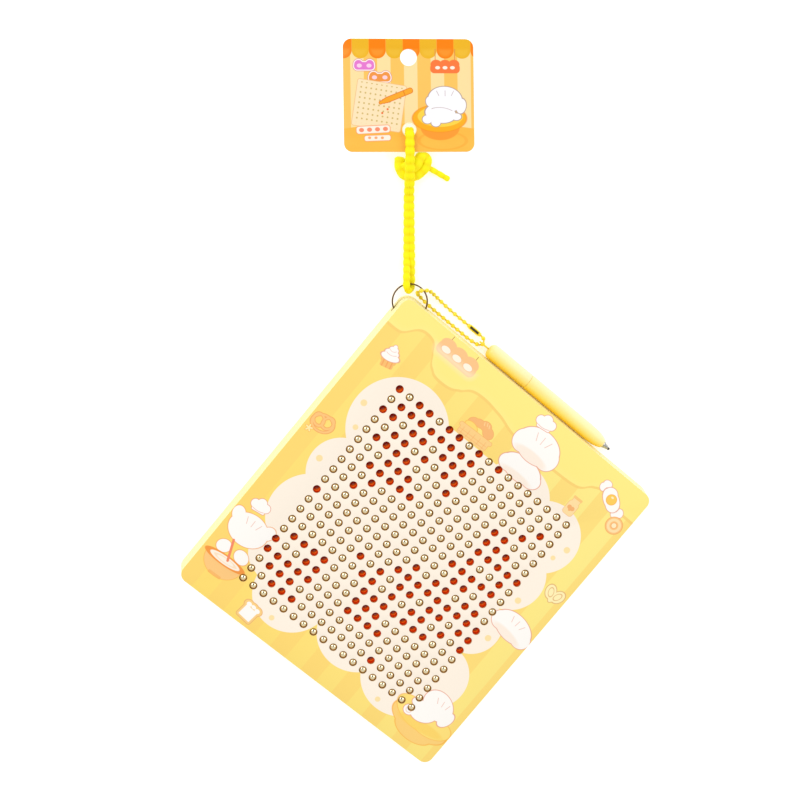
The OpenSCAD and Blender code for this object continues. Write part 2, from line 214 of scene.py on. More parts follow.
class Finish:
    """The nodes of one material."""

    def __init__(self, name):
        self.material = bpy.data.materials.new(name)
        self.material.use_nodes = True
        self.tree = self.material.node_tree
        self.tree.nodes.clear()
        self.place = self.node("TexCoord").outputs["Object"]

    def node(self, kind, settings=None, *values, **named):
        node = self.tree.nodes.new("ShaderNode" + kind)
        for key, value in (settings or {}).items():
            if key == "stops":
                self.set_stops(node, value)
            elif key == "curve":
                self.set_curve(node, value)
            else:
                setattr(node, key, value)
        for index, value in enumerate(values):
            self.put(node.inputs[index], value)
        for key, value in named.items():
            self.put(node.inputs[key.replace("_", " ")], value)
        return node

    def put(self, socket, value):
        if isinstance(value, Amount):
            value = value.socket
        if isinstance(value, bpy.types.NodeSocket):
            self.tree.links.new(value, socket)
        elif value is not None:
            size = len(socket.default_value) if hasattr(socket.default_value, "__len__") else 0
            socket.default_value = (*value, 1.0) if size == 4 and len(value) == 3 else value

    @staticmethod
    def set_stops(node, stops):
        ramp = node.color_ramp
        while len(ramp.elements) < len(stops):
            ramp.elements.new(0.5)
        for element, (position, colour) in zip(ramp.elements, stops):
            element.position, element.color = position, (*colour, 1.0)

    @staticmethod
    def set_curve(node, points):
        line = node.mapping.curves[0].points
        while len(line) < len(points):
            line.new(0.5, 0.5)
        for spot, (x, y) in zip(line, points):
            spot.location = (x, y)
        node.mapping.update()

    def amount(self, kind, settings=None, *values, output=0, **named):
        return Amount(self, self.node(kind, settings, *values, **named).outputs[output])

    def mix(self, share, first, second):
        node = self.node("Mix", {"data_type": "RGBA"})
        for index, value in ((0, share), (6, first), (7, second)):
            self.put(node.inputs[index], value)
        return node.outputs[2]

    def speckle(self, scale, detail=2.0, roughness=0.5, place=None):
        """Noise from 0 to 1 with features of 1 / scale metres."""
        return self.amount(
            "TexNoise", None, Vector=place or self.place, Scale=scale, Detail=detail, Roughness=roughness
        )

    def facing(self, *direction):
        """How far the piece's own surface turns towards a direction."""
        normal = self.node("TexCoord").outputs["Normal"]
        return self.amount("VectorMath", {"operation": "DOT_PRODUCT"}, normal, direction, output=1)

    def bump(self, height, distance, strength=0.3):
        return self.node("Bump", None, Strength=strength, Distance=distance, Height=height).outputs[0]

    def surface(self, colour, roughness=0.5, normal=None, **fixed):
        shader = self.node("BsdfPrincipled", None, Base_Color=colour, Roughness=roughness, Normal=normal)
        for key, value in fixed.items():
            self.put(shader.inputs[key.replace("_", " ")], value)
        self.node("OutputMaterial", None, shader.outputs[0])
        return self.material


class Picture:
    """A printed picture. Its shapes are distances from their edges in millimetres, negative inside."""

    def __init__(self, finish, point, origin=(0.0, 0.0), turn=0.0):
        self.finish, self.point, self.origin, self.turn = finish, point, Vector(origin), turn

    def spot(self, x, y):
        return self.origin + Matrix.Rotation(math.radians(self.turn), 2) @ Vector((x, y))

    def at(self, x, y, turn=0.0):
        """The same picture seen from a moved and turned origin, for a motif's own sizes."""
        return Picture(self.finish, self.point, self.spot(x, y), self.turn + turn)

    def share(self, shape, where, turn, width, height):
        place = self.finish.node(
            "Mapping", {"vector_type": "TEXTURE"}, self.point, (*where, 0),
            (0, 0, math.radians(self.turn + turn)), (width, height, 1),
        ).outputs[0]
        return self.finish.amount("TexGradient", {"gradient_type": shape}, place, output=1)

    def oval(self, x, y, a, b=None, turn=0.0):
        b = b or a
        small = min(a, b)
        share = self.share("SPHERICAL", self.spot(x, y), turn, 4 * a, 4 * b)
        return share.math("MULTIPLY_ADD", share, -4 * small, 3 * small)

    def along(self, x, y, turn, reach):
        """Distance from a spot along a direction, from -reach to reach."""
        ahead = Matrix.Rotation(math.radians(self.turn + turn), 2) @ Vector((reach, 0))
        share = self.share("LINEAR", self.spot(x, y) - ahead, turn, 2 * reach, 2 * reach)
        return share.math("MULTIPLY_ADD", share, 2 * reach, -reach)

    def tile(self, x, y, width, height, corner=0.0, turn=0.0):
        across = self.along(x, y, turn, width + 2).size() - (width / 2 - corner)
        upward = self.along(x, y, turn + 90, height + 2).size() - (height / 2 - corner)
        if not corner:
            return across & upward
        across, upward = across & 0.0, upward & 0.0
        return (across * across + upward * upward).root() - corner

    def stroke(self, x0, y0, x1, y1, width):
        """A straight line with round ends."""
        return self.tile(
            (x0 + x1) / 2, (y0 + y1) / 2, math.hypot(x1 - x0, y1 - y0) + width, width, width / 2,
            math.degrees(math.atan2(y1 - y0, x1 - x0)),
        )

    def axis(self, index):
        return self.along(0, 0, 90 * index, 80)

    def fill(self, shape, colour, soft=0.14, strength=1.0):
        share = shape.inside(soft)
        self.lay(share if strength == 1.0 else share * strength, colour)

    def line(self, shape, colour, width=0.34, strength=1.0, within=None):
        share = shape.band(width)
        if strength != 1.0:
            share = share * strength
        if within is not None:
            share = share * within.inside()
        self.lay(share, colour)

    def lay(self, share, colour):
        self.finish.colour = self.finish.mix(share, self.finish.colour, colour)

    def ovals(self, *sizes):
        """Ovals melted into one shape: x, y, the half width, half height and turn of each."""
        return joined([self.oval(*size) for size in sizes])

    def inked(self, shape, colour, *outline):
        """A filled shape with a line round its edge."""
        self.fill(shape, colour)
        self.line(shape, *outline)

    def creases(self, places, y, length, ink):
        """Short strokes across a bun: x and turn of each."""
        for x, turn in places:
            self.fill(self.tile(x, y, 0.26, length, 0.13, turn), ink, 0.14, 0.7)

    def drops(self, places, a, b, colour, strength):
        """Small ovals of one size, at x and y of each."""
        for x, y in places:
            self.fill(self.oval(x, y, a, b), colour, 0.14, strength)


def joined(shapes):
    return reduce(Amount.__or__, shapes)


# Inks of the printed face
CREAM = light(254, 241, 224)
WHITE = light(255, 251, 245)
BLUSH = light(234, 158, 132)
CRUST = light(250, 190, 108)
CARAMEL = light(244, 160, 84)
AMBER = light(250, 178, 60)
BROWN = light(196, 134, 84)
PENCIL = light(176, 150, 140)
BISCUIT = light(228, 176, 112)


def plump_bun(art, a, b, creases=True):
    """A white steamed bun with a blush outline."""
    body = art.ovals(
        (0, 0, a, b), (-0.62 * a, -0.2 * b, 0.48 * a, 0.7 * b), (0.62 * a, -0.2 * b, 0.48 * a, 0.7 * b)
    )
    art.fill(body, WHITE)
    art.fill(art.oval(0, -0.7 * b, 0.8 * a, 0.35 * b) & body, light(253, 232, 212), 0.8, 0.7)
    art.line(body, BLUSH, 0.3, 0.9)
    if creases:
        art.creases(((-0.3 * a, 24), (0, 0), (0.3 * a, -24)), 0.42 * b, 0.5 * b, BLUSH)


def chef_hat(art, size):
    puffs = joined([
        art.oval(-0.62 * size, 0.5 * size, 0.5 * size), art.oval(0, 0.78 * size, 0.56 * size),
        art.oval(0.62 * size, 0.5 * size, 0.5 * size),
        art.tile(0, 0.1 * size, 1.5 * size, 0.7 * size, 0.15 * size),
    ])
    art.inked(puffs, WHITE, BLUSH, 0.28, 0.9)
    art.line(
        art.oval(0, 1.1 * size, 1.5 * size, 1.2 * size), BLUSH, 0.24, 0.8,
        art.tile(0, -0.1 * size, 1.3 * size, 0.3 * size),
    )


def cupcake(art):
    cup = joined([art.tile(0, -2.6, 5.2, 3.6, 0.7), art.tile(0, -1.6, 6.2, 1.8, 0.6)])
    art.fill(cup, CRUST)
    for x in (-1.7, 0, 1.7):
        art.fill(art.tile(x, -2.8, 0.5, 3.1, 0.2), CARAMEL, 0.14, 0.8)
    cream = art.ovals((0, 0, 3.9, 1.7), (0, 1.6, 3, 1.5), (0.2, 3, 2, 1.3), (0.3, 4.2, 0.9, 0.9))
    art.inked(cream, WHITE, BLUSH, 0.26, 0.8)
    for y, a in ((0.9, 2.4), (2.4, 1.6)):
        art.line(art.oval(0, y + 1.2, a, 1.4), BLUSH, 0.22, 0.6, art.tile(0, y, 2 * a, 1))


def bread_basket(art):
    loaf = art.ovals(
        (-3.4, 3.4, 2.4, 1.7, 20), (-1, 4.2, 2.4, 1.6), (1.4, 4.6, 2.4, 2), (3.7, 3, 2.6, 2.1, -30)
    )
    art.inked(loaf, light(250, 184, 112), CARAMEL, 0.26, 0.6)
    for x, y in ((0.4, 5.1), (1.5, 5.5), (2.6, 5.2)):
        art.fill(art.tile(x, y, 0.35, 1.6, 0.17, 25), light(255, 214, 150), 0.14, 0.9)
    sweet = art.oval(-3.2, 1.2, 3, 1.7, -8)
    art.inked(sweet, light(255, 218, 110), AMBER, 0.26, 0.6)
    basket = joined([art.tile(0, -1.8, 13.6, 4, 1), art.tile(0, 0, 15.4, 1.7, 0.8)])
    art.fill(basket, light(254, 208, 132))
    for y in (-2.9, -1.7):
        art.fill(art.tile(0, y, 13, 0.35, 0.1), CARAMEL, 0.14, 0.35)
    for x in (-5.2, -2.6, 0, 2.6, 5.2):
        art.fill(art.tile(x, -1.9, 0.35, 3.2, 0.1), CARAMEL, 0.14, 0.35)
    art.line(basket, CARAMEL, 0.26, 0.5)


def milk_jar(art):
    body = joined([art.tile(0, -0.6, 4.6, 6, 1.2), art.tile(0, 3, 3.4, 2, 0.4)])
    art.inked(body, light(255, 222, 160), CARAMEL, 0.26, 0.5)
    art.fill(art.tile(0, 4, 4.2, 1.1, 0.4), light(252, 200, 120))
    label = joined([
        art.oval(-0.7, -0.4, 0.9), art.oval(0.7, -0.4, 0.9), art.tile(0, -1.1, 1.3, 1.3, 0.1, 45)
    ])
    art.fill(label, CARAMEL, 0.14, 0.75)


def wrapped_egg(art):
    """A fried egg wrapped like a sweet."""
    ends = art.ovals(
        (-6.4, 1.1, 1.9, 1.5, 30), (-6.2, -1, 1.8, 1.4, -30), (6.4, 1.1, 1.9, 1.5, -30),
        (6.2, -1, 1.8, 1.4, 30),
    )
    art.inked(ends, WHITE, BLUSH, 0.26, 0.8)
    white = art.ovals((0, 0, 5.1, 3.1), (-2, 0.7, 3, 2.7), (2.2, -0.6, 3, 2.5))
    art.inked(white, WHITE, BLUSH, 0.28, 0.9)
    art.fill(art.oval(0, 0.1, 2.1), light(255, 204, 84))
    art.line(art.oval(0, 0.1, 2.1), AMBER, 0.3, 0.9)
    art.fill(art.oval(-0.6, 0.8, 0.6, 0.4, 30), light(255, 240, 190))


def donut(art, r):
    art.fill(art.oval(0, 0, r), light(252, 196, 124))
    art.line(art.oval(0, 0, r), CARAMEL, 0.3, 0.8)
    art.line(art.oval(0, 0, 0.66 * r), light(255, 226, 170), 0.3 * r, 0.9)
    art.fill(art.oval(0, 0, 0.32 * r), light(255, 236, 190))
    art.line(art.oval(0, 0, 0.32 * r), CARAMEL, 0.3, 0.8)


def pretzel(art):
    loops = (art.oval(-1.9, 0.6, 2, 2.4, 30).size() - 0.5) | (art.oval(1.9, 0.6, 2, 2.4, -30).size() - 0.5)
    loops = loops | (art.oval(0, -0.2, 4.3, 3.3).size() - 0.5)
    art.inked(loops, light(252, 196, 120), CARAMEL, 0.26, 0.9)


def star(art, r):
    turns = [math.radians(t) for t in (0, 72, 144, 216, 288)]
    points = joined([art.stroke(0, 0, r * math.sin(t), r * math.cos(t), 0.5) for t in turns])
    art.fill(points - 0.15, light(255, 236, 170))
    art.line(points - 0.15, AMBER, 0.24, 0.8)


def croissant(art):
    tips = art.ovals((-1.9, 0.6, 2.3, 3.1, 24), (1.9, 0.6, 2.3, 3.1, -24))
    arms = tips | art.tile(0, -1.4, 3, 3, 0.6, 45)
    art.inked(arms, light(255, 240, 180), BISCUIT, 0.34, 0.9)
    for x, turn in ((-1.7, 24), (1.7, -24)):
        art.line(art.oval(x, 0.5, 1.1, 1.9, turn), BISCUIT, 0.26, 0.9)


def toast(art):
    slice_ = joined([
        art.tile(0, -0.7, 7.2, 6.6, 1), art.oval(-2.1, 2.3, 2.2, 1.8), art.oval(2.1, 2.3, 2.2, 1.8),
        art.oval(0, 2.6, 2.4, 1.6),
    ])
    art.inked(slice_, light(252, 208, 130), light(236, 176, 104), 0.3, 0.9)
    art.fill(slice_ + 0.9, WHITE)


def mixing_bowl(art):
    """A round bun with a chef's hat behind a bowl with a whisk."""
    bun = art.ovals((0.3, 7.3, 8.4, 6.6), (-6.6, 10.6, 2.7, 3.3, 30), (7.2, 10.6, 2.7, 3.3, -30))
    art.inked(bun, WHITE, CARAMEL, 0.3, 0.8)
    art.creases(((-2.4, 22), (0.3, 0), (3, -22)), 10.4, 3, BLUSH)
    chef_hat(art.at(-1.4, 16, 6), 3.7)
    rolls = art.ovals((-3.6, -3, 3.1, 2.7, 20), (4.6, -3, 3.4, 2.7, -20))
    art.inked(rolls, WHITE, CARAMEL, 0.28, 0.8)
    bowl = art.oval(0.2, -8, 8.2, 7) & (art.axis(1) + 7.6)
    art.fill(bowl, light(253, 200, 124))
    art.fill(art.tile(0.2, -14.4, 5.8, 1.2, 0.5), light(250, 184, 100))
    art.line(bowl, AMBER, 0.26, 0.7)
    batter = art.oval(0.2, -7.5, 8.1, 1.9)
    art.inked(batter, light(255, 244, 226), light(246, 150, 54), 0.6)
    art.line(art.oval(0.4, -7.5, 4.6, 0.9), light(252, 222, 188), 0.3, 0.9)
    art.fill(art.stroke(-1.9, 1, 1.1, -7, 1), light(246, 136, 96))


def basket_bun(art):
    """A sleepy round bun in a basket."""
    basket = art.ovals((0, -5.4, 13.2, 6.4), (0, -9, 9, 5))
    art.inked(basket, light(253, 208, 116), AMBER, 0.3, 0.8)
    cloth = art.ovals((-4, -3.6, 9.6, 5, -12), (5, -4.2, 8.6, 4.6, 10))
    art.inked(cloth, light(255, 224, 118), AMBER, 0.3, 0.6)
    art.fill(art.oval(1, -6.6, 10.4, 2.2, 6), light(252, 206, 84), 0.6, 0.6)
    bun = art.ovals(
        (1.5, 4.2, 7.2, 5.6, -18), (-1.4, -1, 6, 4.6, 20), (7.6, 1.6, 2.5, 4, -20), (-6.2, 0.4, 2.2, 1.8),
        (-6.8, -4, 2.4, 2.2),
    )
    art.inked(bun, WHITE, BLUSH, 0.3, 0.9)
    art.creases(((0, 30), (2.6, 8), (5, -14)), 5.9, 2.6, BLUSH)
    art.line(art.oval(-6.8, -4, 1.2), BLUSH, 0.26, 0.7)


def hanging_sign(art, width, height, colour, string, rope):
    for x in (-0.33, 0.33):
        art.fill(art.stroke(x * width, height * 0.4, x * width, height * 0.5 + rope, 0.3), string)
    board = joined([
        art.tile(0, -0.1 * height, width, 0.72 * height, 0.3 * height),
        *[art.oval(x * width, 0.2 * height, 0.19 * width, 0.36 * height) for x in (-0.3, 0, 0.3)],
    ])
    art.fill(board, colour)
    return board


def printed_face():
    """The glossy printed sheet: butter icing over caramel stripes, a cream cloud and baked motifs."""
    finish = Finish("printed_face")
    point = finish.node(
        "Mapping", {"vector_type": "TEXTURE"}, finish.place, (0, 0, FACE_HIGH.z * MM), (0, 0, 0),
        (MM, MM, 1),
    ).outputs[0]
    art = Picture(finish, point)
    x, y = art.axis(0), art.axis(1)

    # The ground, warmer towards the lower left, with faint stripes
    drift = (x * 0.006 + y * 0.004 + 0.5).share()
    finish.colour = finish.mix(drift, light(254, 220, 108), light(253, 234, 134))
    stripes = ((x * (math.tau / 15.4) + 0.8).sine() * 8 + 0.5).share()
    art.lay(stripes * 0.55, light(253, 210, 108))

    # Icing that drips down from the upper side
    edge = finish.amount("FloatCurve", {"curve": ICING_EDGE}, 1.0, (x + 64) / 128)
    above = (edge * 14 + 50.5) - y
    art.fill(above, settings("colours").icing, 0.3)
    art.fill(above + 1.5, light(254, 233, 122), 3, 0.4)
    art.line(above - 0.3, light(249, 207, 110), 1.1, 0.85)

    # The cream cloud behind the holes
    cloud = joined([art.tile(0, -4.4, 85, 91.6, 4), *[art.oval(cx, cy, r) for cx, cy, r in CLOUD_LOBES]])
    art.fill(cloud, CREAM, 0.2)
    dots = joined([art.oval(cx, cy, r) for cx, cy, r in CLOUD_DOTS])
    art.fill(dots, light(254, 226, 164), 0.3)

    sign = hanging_sign(art.at(-33.1, 63.7, -1), 18.4, 7, light(251, 196, 134), BROWN, 1.8)
    art.fill(sign & (art.axis(1) - 62.4), light(255, 234, 196), 4, 0.9)
    loaf = art.at(-33.1, 63.2)
    for dx in (-5.4, 0, 5.4):
        art.fill(loaf.oval(dx, 0.1, 2.1, 1.3), light(255, 246, 226), 0.14, 0.95)
        art.line(loaf.oval(dx, 0.1, 2.1, 1.3), CARAMEL, 0.2, 0.5)

    cupcake(art.at(-53.2, 47.6, 14))
    bread_basket(art.at(-8.6, 45.6, 2))
    plump_bun(art.at(14.2, 46.2), 9, 5, creases=False)
    plump_bun(art.at(13.6, 56.9), 9.6, 7)
    chef_hat(art.at(10.2, 64.2, 8), 3.9)
    milk_jar(art.at(39.4, 47.2))
    wrapped_egg(art.at(49.8, 59.2, -28))
    donut(art.at(57.4, 52.1), 3.5)
    pretzel(art.at(-57, 11.8, 14))
    star(art.at(-60, 7.1, 10), 1.2)
    croissant(art.at(57.2, 15.6))
    plump_bun(art.at(53.1, -4.4, -8), 9, 5.6)
    mixing_bowl(art.at(-52.8, -46, 2))
    toast(art.at(-32.2, -63.8, -6))
    basket_bun(art.at(49, -51.8))

    speck = finish.speckle(9000, 1.0)
    colour = finish.mix(speck * 0.05, finish.colour, light(255, 250, 235))
    weave = finish.speckle(2600, 2.0)
    return finish.surface(
        colour, weave * 0.1 + 0.32, finish.bump(weave, 0.00002, 0.15), Specular_IOR_Level=0.2
    )


# The icing's lower edge from left to right, as shares of the face's width and of its own depth
ICING_EDGE = [
    (0, 0.5), (0.05, 0.5), (0.125, 0.94), (0.175, 0.62), (0.205, 0.28), (0.25, 0.15), (0.31, 0.3),
    (0.37, 0.56), (0.44, 0.5), (0.55, 0.28), (0.7, 0.26), (0.77, 0.3), (0.82, 0.6), (0.865, 0.7),
    (0.93, 0.52), (1, 0.5),
]
CLOUD_LOBES = [
    (-33.5, 28.1, 19.9), (-39.5, 1.3, 13.5), (-37.5, -19.9, 17.2), (-38, -38, 12), (-23.6, -47.7, 15.6),
    (6.3, -43.8, 16.3), (31.5, -46.4, 17), (41.4, -38.5, 13.5), (39.4, -13.3, 12.2), (38.8, 11.3, 13.9),
    (38.8, 31.2, 14.6), (18.9, 34.5, 15.2),
]
CLOUD_DOTS = [
    (-49.8, 27.7, 1.3), (-46.3, 18.4, 1.1), (-49.4, 0.4, 1.3), (49.3, 32.9, 1.3), (47, 27.1, 1),
    (47.4, 5.3, 1.3), (48, -13.8, 1.3), (-23.9, -60.2, 1.1), (29.7, -60.2, 1.1),
]


def moulded_plastic(name, colour, shade, roughness=0.38):
    """Satin moulded plastic with a faint flow mottle and a fine spark-eroded grain."""
    finish = Finish(name)
    flow = finish.speckle(90, 3.0)
    grain = finish.speckle(4200, 2.0)
    return finish.surface(
        finish.mix(flow, colour, shade), grain * 0.12 + roughness, finish.bump(grain, 0.00003, 0.2),
        Specular_IOR_Level=0.4,
    )


def pen_plastic():
    """Satin plastic, with a painted shade where the pen lies against the board's side and a painted
    highlight on its outer side.
    """
    finish = Finish("pen_plastic")
    flow = finish.speckle(90, 3.0)
    grain = finish.speckle(4200, 2.0)
    # Painted shade and highlight: the colour follows which way the surface faces
    outer = (finish.facing(0.2, 1.0, 0.25) * 0.62 + flow * 0.1 + 0.36).share()
    return finish.surface(
        finish.mix(outer, light(255, 214, 52), settings("colours").pen), grain * 0.12 + 0.3,
        finish.bump(grain, 0.00003, 0.2), Specular_IOR_Level=0.4,
    )


def grained(name, scale, detail, colours, gloss, relief=None, rough=0.5, **fixed):
    """Two colours and a roughness that follow one noise, with a fine relief where one is given."""
    finish = Finish(name)
    grain = finish.speckle(scale, detail, rough)
    colour, roughness = finish.mix(grain, *colours), grain * gloss[0] + gloss[1]
    return finish.surface(colour, roughness, finish.bump(grain, *relief) if relief else None, **fixed)


def hole_wall():
    # Panel plastic painted darker inside the holes: a painted shade of the recesses
    return grained("hole_wall", 3000, 2.0, (light(196, 156, 98), light(216, 178, 120)), (0.2, 0.4))


def red_silicone():
    """Glossy moulded silicone of the red cells."""
    shades = (settings("colours").cells, light(236, 92, 20))
    return grained("red_silicone", 900, 2.0, shades, (0.15, 0.2), (0.00004, 0.2))


def polished_steel():
    finish = Finish("polished_steel")
    haze = finish.speckle(1500, 2.0)
    scratch = finish.speckle(14000, 1.0)
    # The warm cream tint is a painted reflection of warm surroundings, not the steel's own colour
    return finish.surface(
        finish.mix(haze, light(255, 236, 188), light(255, 246, 212)), haze * 0.06 + scratch * 0.05 + 0.06,
        Metallic=1.0,
    )


def red_ball():
    """A steel ball deep in its red cell, with the cell's red as a painted reflection, a painted shade dark
    on top and bright on one lower side, and a painted glow.
    """
    finish = Finish("red_ball")
    haze = finish.speckle(1200, 2.0)
    # Painted shade and light: dark on the ball's top, bright where it faces one lower side
    painted_light_share = (finish.facing(0.75, -0.5, -0.5) + haze * 0.1 + 0.46).share()
    glow = finish.mix(painted_light_share, light(108, 14, 4), light(255, 122, 30))
    # Painted glow: the same colour is given off as emission, though the ball is no lamp
    return finish.surface(
        glow, haze * 0.1 + 0.26, Coat_Weight=1.0, Emission_Color=glow, Emission_Strength=0.5
    )


def dark_wire():
    """Blackened steel wire, brighter in patches that follow a noise."""
    shades = (settings("colours").ring, light(150, 116, 84))
    return grained("dark_wire", 700, 3.0, shades, (0.25, 0.22), Metallic=1.0)


def chain_brass():
    """Yellow lacquered brass: bright beads, and darker links as a painted shade between them."""
    finish = Finish("chain_brass")
    swell = finish.amount("Attribute", {"attribute_name": "swell"}, output=2)
    haze = finish.speckle(1300, 2.0)
    lacquer = finish.mix(haze, light(252, 222, 8), settings("colours").chain)
    return finish.surface(
        # Painted shade: the thin links between the beads are darker
        finish.mix(swell, light(230, 196, 16), lacquer), haze * 0.15 + 0.26, Metallic=0.1, Coat_Weight=0.4
    )


def dark_slot():
    # A shallow dent painted near-black: a painted shadow standing in for the connector's open slot
    return grained("dark_slot", 2000, 2.0, (light(40, 32, 16), light(70, 56, 28)), (0.2, 0.6))


def strap_rubber():
    """Bright yellow rubber, with a painted shade that makes it deeper in the grooves between its beads."""
    finish = Finish("strap_rubber")
    swell = finish.amount("Attribute", {"attribute_name": "swell"}, output=2)
    dust = finish.speckle(2400, 2.0)
    # Painted shade: the grooves between the beads are deeper yellow
    rubber = finish.mix(swell, light(255, 222, 0), settings("colours").strap)
    return finish.surface(
        finish.mix(dust * 0.08, rubber, light(255, 248, 120)), dust * 0.15 + 0.5,
        finish.bump(dust, 0.00004, 0.2), Specular_IOR_Level=0.15,
    )


def pen_metal():
    finish = Finish("pen_metal")
    lathe = finish.amount(
        "TexWave", {"wave_type": "BANDS", "bands_direction": "X"}, Vector=finish.place, Scale=2600.0
    )
    return finish.surface(
        finish.mix(lathe, light(150, 150, 148), light(214, 214, 210)), lathe * 0.08 + 0.18, Metallic=1.0
    )


def pen_ink_tip():
    shades = (light(34, 28, 24), light(58, 48, 42))
    return grained("pen_tip", 5000, 1.0, shades, (0.2, 0.3), Metallic=1.0)


def plain_card():
    """The card's uncoated back and its cut edge."""
    shades = (light(250, 244, 232), light(255, 252, 246))
    return grained("plain_card", 1800, 4.0, shades, (0.15, 0.7), (0.00005, 0.3), rough=0.65)


def printed_card(card_middle, card_size):
    """The tag's front: an awning over striped wallpaper, a tilted board and pen, and a bun in a bowl."""
    finish = Finish("printed_card")
    place = finish.node(
        "Mapping", {"vector_type": "TEXTURE"}, finish.place, card_middle * MM,
        tuple(CARD_TURN.to_euler()), (MM, MM, 1),
    ).outputs[0]
    art = Picture(finish, place)
    x, y = art.axis(0), art.axis(1)
    top = card_size[1] / 2

    finish.colour = light(251, 196, 96)
    wall = ((x * (math.tau / 10.1) + 1.07).sine() * 14 + 0.5).share()
    art.lay(wall, light(250, 222, 160))
    floor = art.oval(0, -32, 60, 21.4)
    art.fill(floor, light(254, 186, 70), 0.2)
    art.fill(y + 16.5, light(255, 192, 78), 3, 0.7)
    art.line(art.oval(12.6, -17, 9, 3.4), light(248, 166, 54), 0.5, 0.5)

    # Awning
    for index in range(9):
        middle_x = -24.5 + 6.4 * index
        flap = art.tile(middle_x, top - 1.6, 6.4, 11.6, 3.1) | art.tile(middle_x, top, 6.4, 5)
        art.fill(flap, light(255, 130, 8) if index % 2 == 0 else light(236, 180, 36))
        art.fill(
            (flap + 0.9) & (y - top + 4), light(255, 176, 70) if index % 2 == 0 else light(244, 200, 70),
            1.2, 0.35,
        )

    # Signs without words
    hanging_sign(art.at(13.8, 10.6), 11.2, 5, light(250, 122, 62), light(220, 140, 80), 4.2)
    art.drops([(13.8 + dx, 10.4) for dx in (-2.8, 0, 2.8)], 0.9, 0.62, light(255, 240, 224), 1.0)
    for cx, cy, width, colour in (
        (-16.7, 11, 7.6, light(228, 122, 206)), (-10.9, 6.6, 8.2, light(240, 150, 70))
    ):
        pill = joined([
            art.tile(cx, cy, width, 2.9, 1.3), art.oval(cx - 0.28 * width, cy + 0.6, 1.6),
            art.oval(cx + 0.28 * width, cy + 0.6, 1.6),
        ])
        art.fill(pill - 0.45, light(255, 246, 236))
        art.line(pill - 0.45, light(196, 96, 130), 0.22, 0.8)
        art.fill(pill, colour)
        art.drops(
            [(cx + dx * width, cy + 0.1) for dx in (-0.24, 0.24)], 0.95, 0.75, light(255, 220, 236), 0.8
        )

    # The little board and its pen
    board = art.at(-11.3, -3.8, -9)
    slab = board.tile(0, 0, 18.6, 17.6, 0.8)
    art.inked(slab, light(252, 226, 184), light(236, 190, 130), 0.26, 0.9)
    across, upward = board.axis(0), board.axis(1)
    across = across.math("WRAP", across, 0.95, -0.95)
    upward = upward.math("WRAP", upward, 0.975, -0.975)
    peg = (across * across + upward * upward).root() - 0.36
    art.fill(peg & board.tile(0, 0.2, 16.6, 15.4), light(202, 176, 96), 0.14, 0.85)
    art.fill(board.oval(3.4, -0.9, 0.42) | board.oval(1.6, -2.6, 0.42), light(240, 120, 60))
    pen = art.at(-5.4, -0.6, 22)
    barrel = pen.tile(1.6, 0, 11.4, 2, 0.9) | pen.tile(-4.6, 0, 3.4, 1.1, 0.5)
    barrel = barrel | pen.tile(-3.4, 0, 3.4, 1.6, 0.7)
    art.inked(barrel, light(250, 168, 44), light(226, 120, 30), 0.3, 0.95)
    art.fill(pen.tile(3.9, 0, 0.3, 1.8), light(226, 120, 30))
    ribbon = joined([art.tile(-13.6, -12.8, 12.8, 2.9, 1.1, 3), art.tile(-12, -16, 10, 2.2, 0.9, 2)])
    art.inked(ribbon, light(255, 240, 224), light(246, 150, 90), 0.3, 0.8)
    art.drops(
        [(cx, -12.8 + 0.05 * (cx + 13.6)) for cx in (-18, -15, -12, -9)], 0.95, 0.8, light(248, 128, 84),
        0.9,
    )
    art.drops([(cx, -15.9) for cx in (-15, -12.6, -10.2)], 0.6, 0.5, light(250, 160, 96), 0.9)

    # A bun in a bowl
    bowl = art.at(11.5, -8.6)
    foot = bowl.oval(0.2, -3.4, 7.4, 4.8) & (y + 17.4) * -1
    art.fill(foot, light(250, 156, 52))
    rim = bowl.oval(0, 0, 10.3, 5.2)
    art.inked(rim, light(254, 176, 34), light(240, 140, 30), 0.3, 0.6)
    art.fill(bowl.oval(0.3, 0.7, 8.6, 3.9), light(255, 212, 74))
    bun = bowl.ovals(
        (2.2, 7, 6.6, 5, -6), (0.4, 1.8, 6, 3.6, -8), (8.2, 4.6, 2, 3, -10), (-3.4, 6.2, 1.8, 2.2, 20),
        (-4.6, -0.4, 2, 1.7), (-1.4, -1.6, 1.9, 1.6), (6.4, 0.6, 2, 1.4),
    )
    art.inked(bun, light(250, 248, 252), PENCIL, 0.3, 0.9)
    art.line(bowl.oval(1, 1.4, 5.4, 2.6, -8), PENCIL, 0.24, 0.7, bowl.tile(1, 4, 8, 2.4))
    bowl.creases(((-0.6, 26), (2.2, 0), (5, -26)), 9.4, 2.2, PENCIL)

    # White rim round the strap's hole
    hole = art.oval(0, card_size[2], 2.7)
    art.fill(hole, light(255, 246, 226))

    gloss = finish.speckle(1500, 2.0)
    return finish.surface(
        finish.colour, gloss * 0.1 + 0.3, finish.bump(gloss, 0.00002, 0.1), Specular_IOR_Level=0.15
    )


# ---------------------------------------------------------------- modelling


def add_object(name, bm, finishes):
    mesh = bpy.data.meshes.new(name)
    bm.to_mesh(mesh)
    bm.free()
    for finish in finishes:
        mesh.materials.append(finish)
    made = bpy.data.objects.new(name, mesh)
    bpy.context.scene.collection.objects.link(made)
    return made


def add_piece(name, bm, body, finishes, stands_for=(), sharp=38.0):
    """Turns a bmesh in millimetres into a finished piece that rides on a body."""
    bmesh.ops.scale(bm, vec=(MM, MM, MM), verts=bm.verts)
    for face in bm.faces:
        face.smooth = True
    for edge in bm.edges:
        edge.smooth = len(edge.link_faces) == 2 and edge.calc_face_angle(0.0) < math.radians(sharp)
    piece = add_object(name, bm, finishes)
    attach(piece, body)
    if stands_for:
        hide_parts(*stands_for)
    return piece


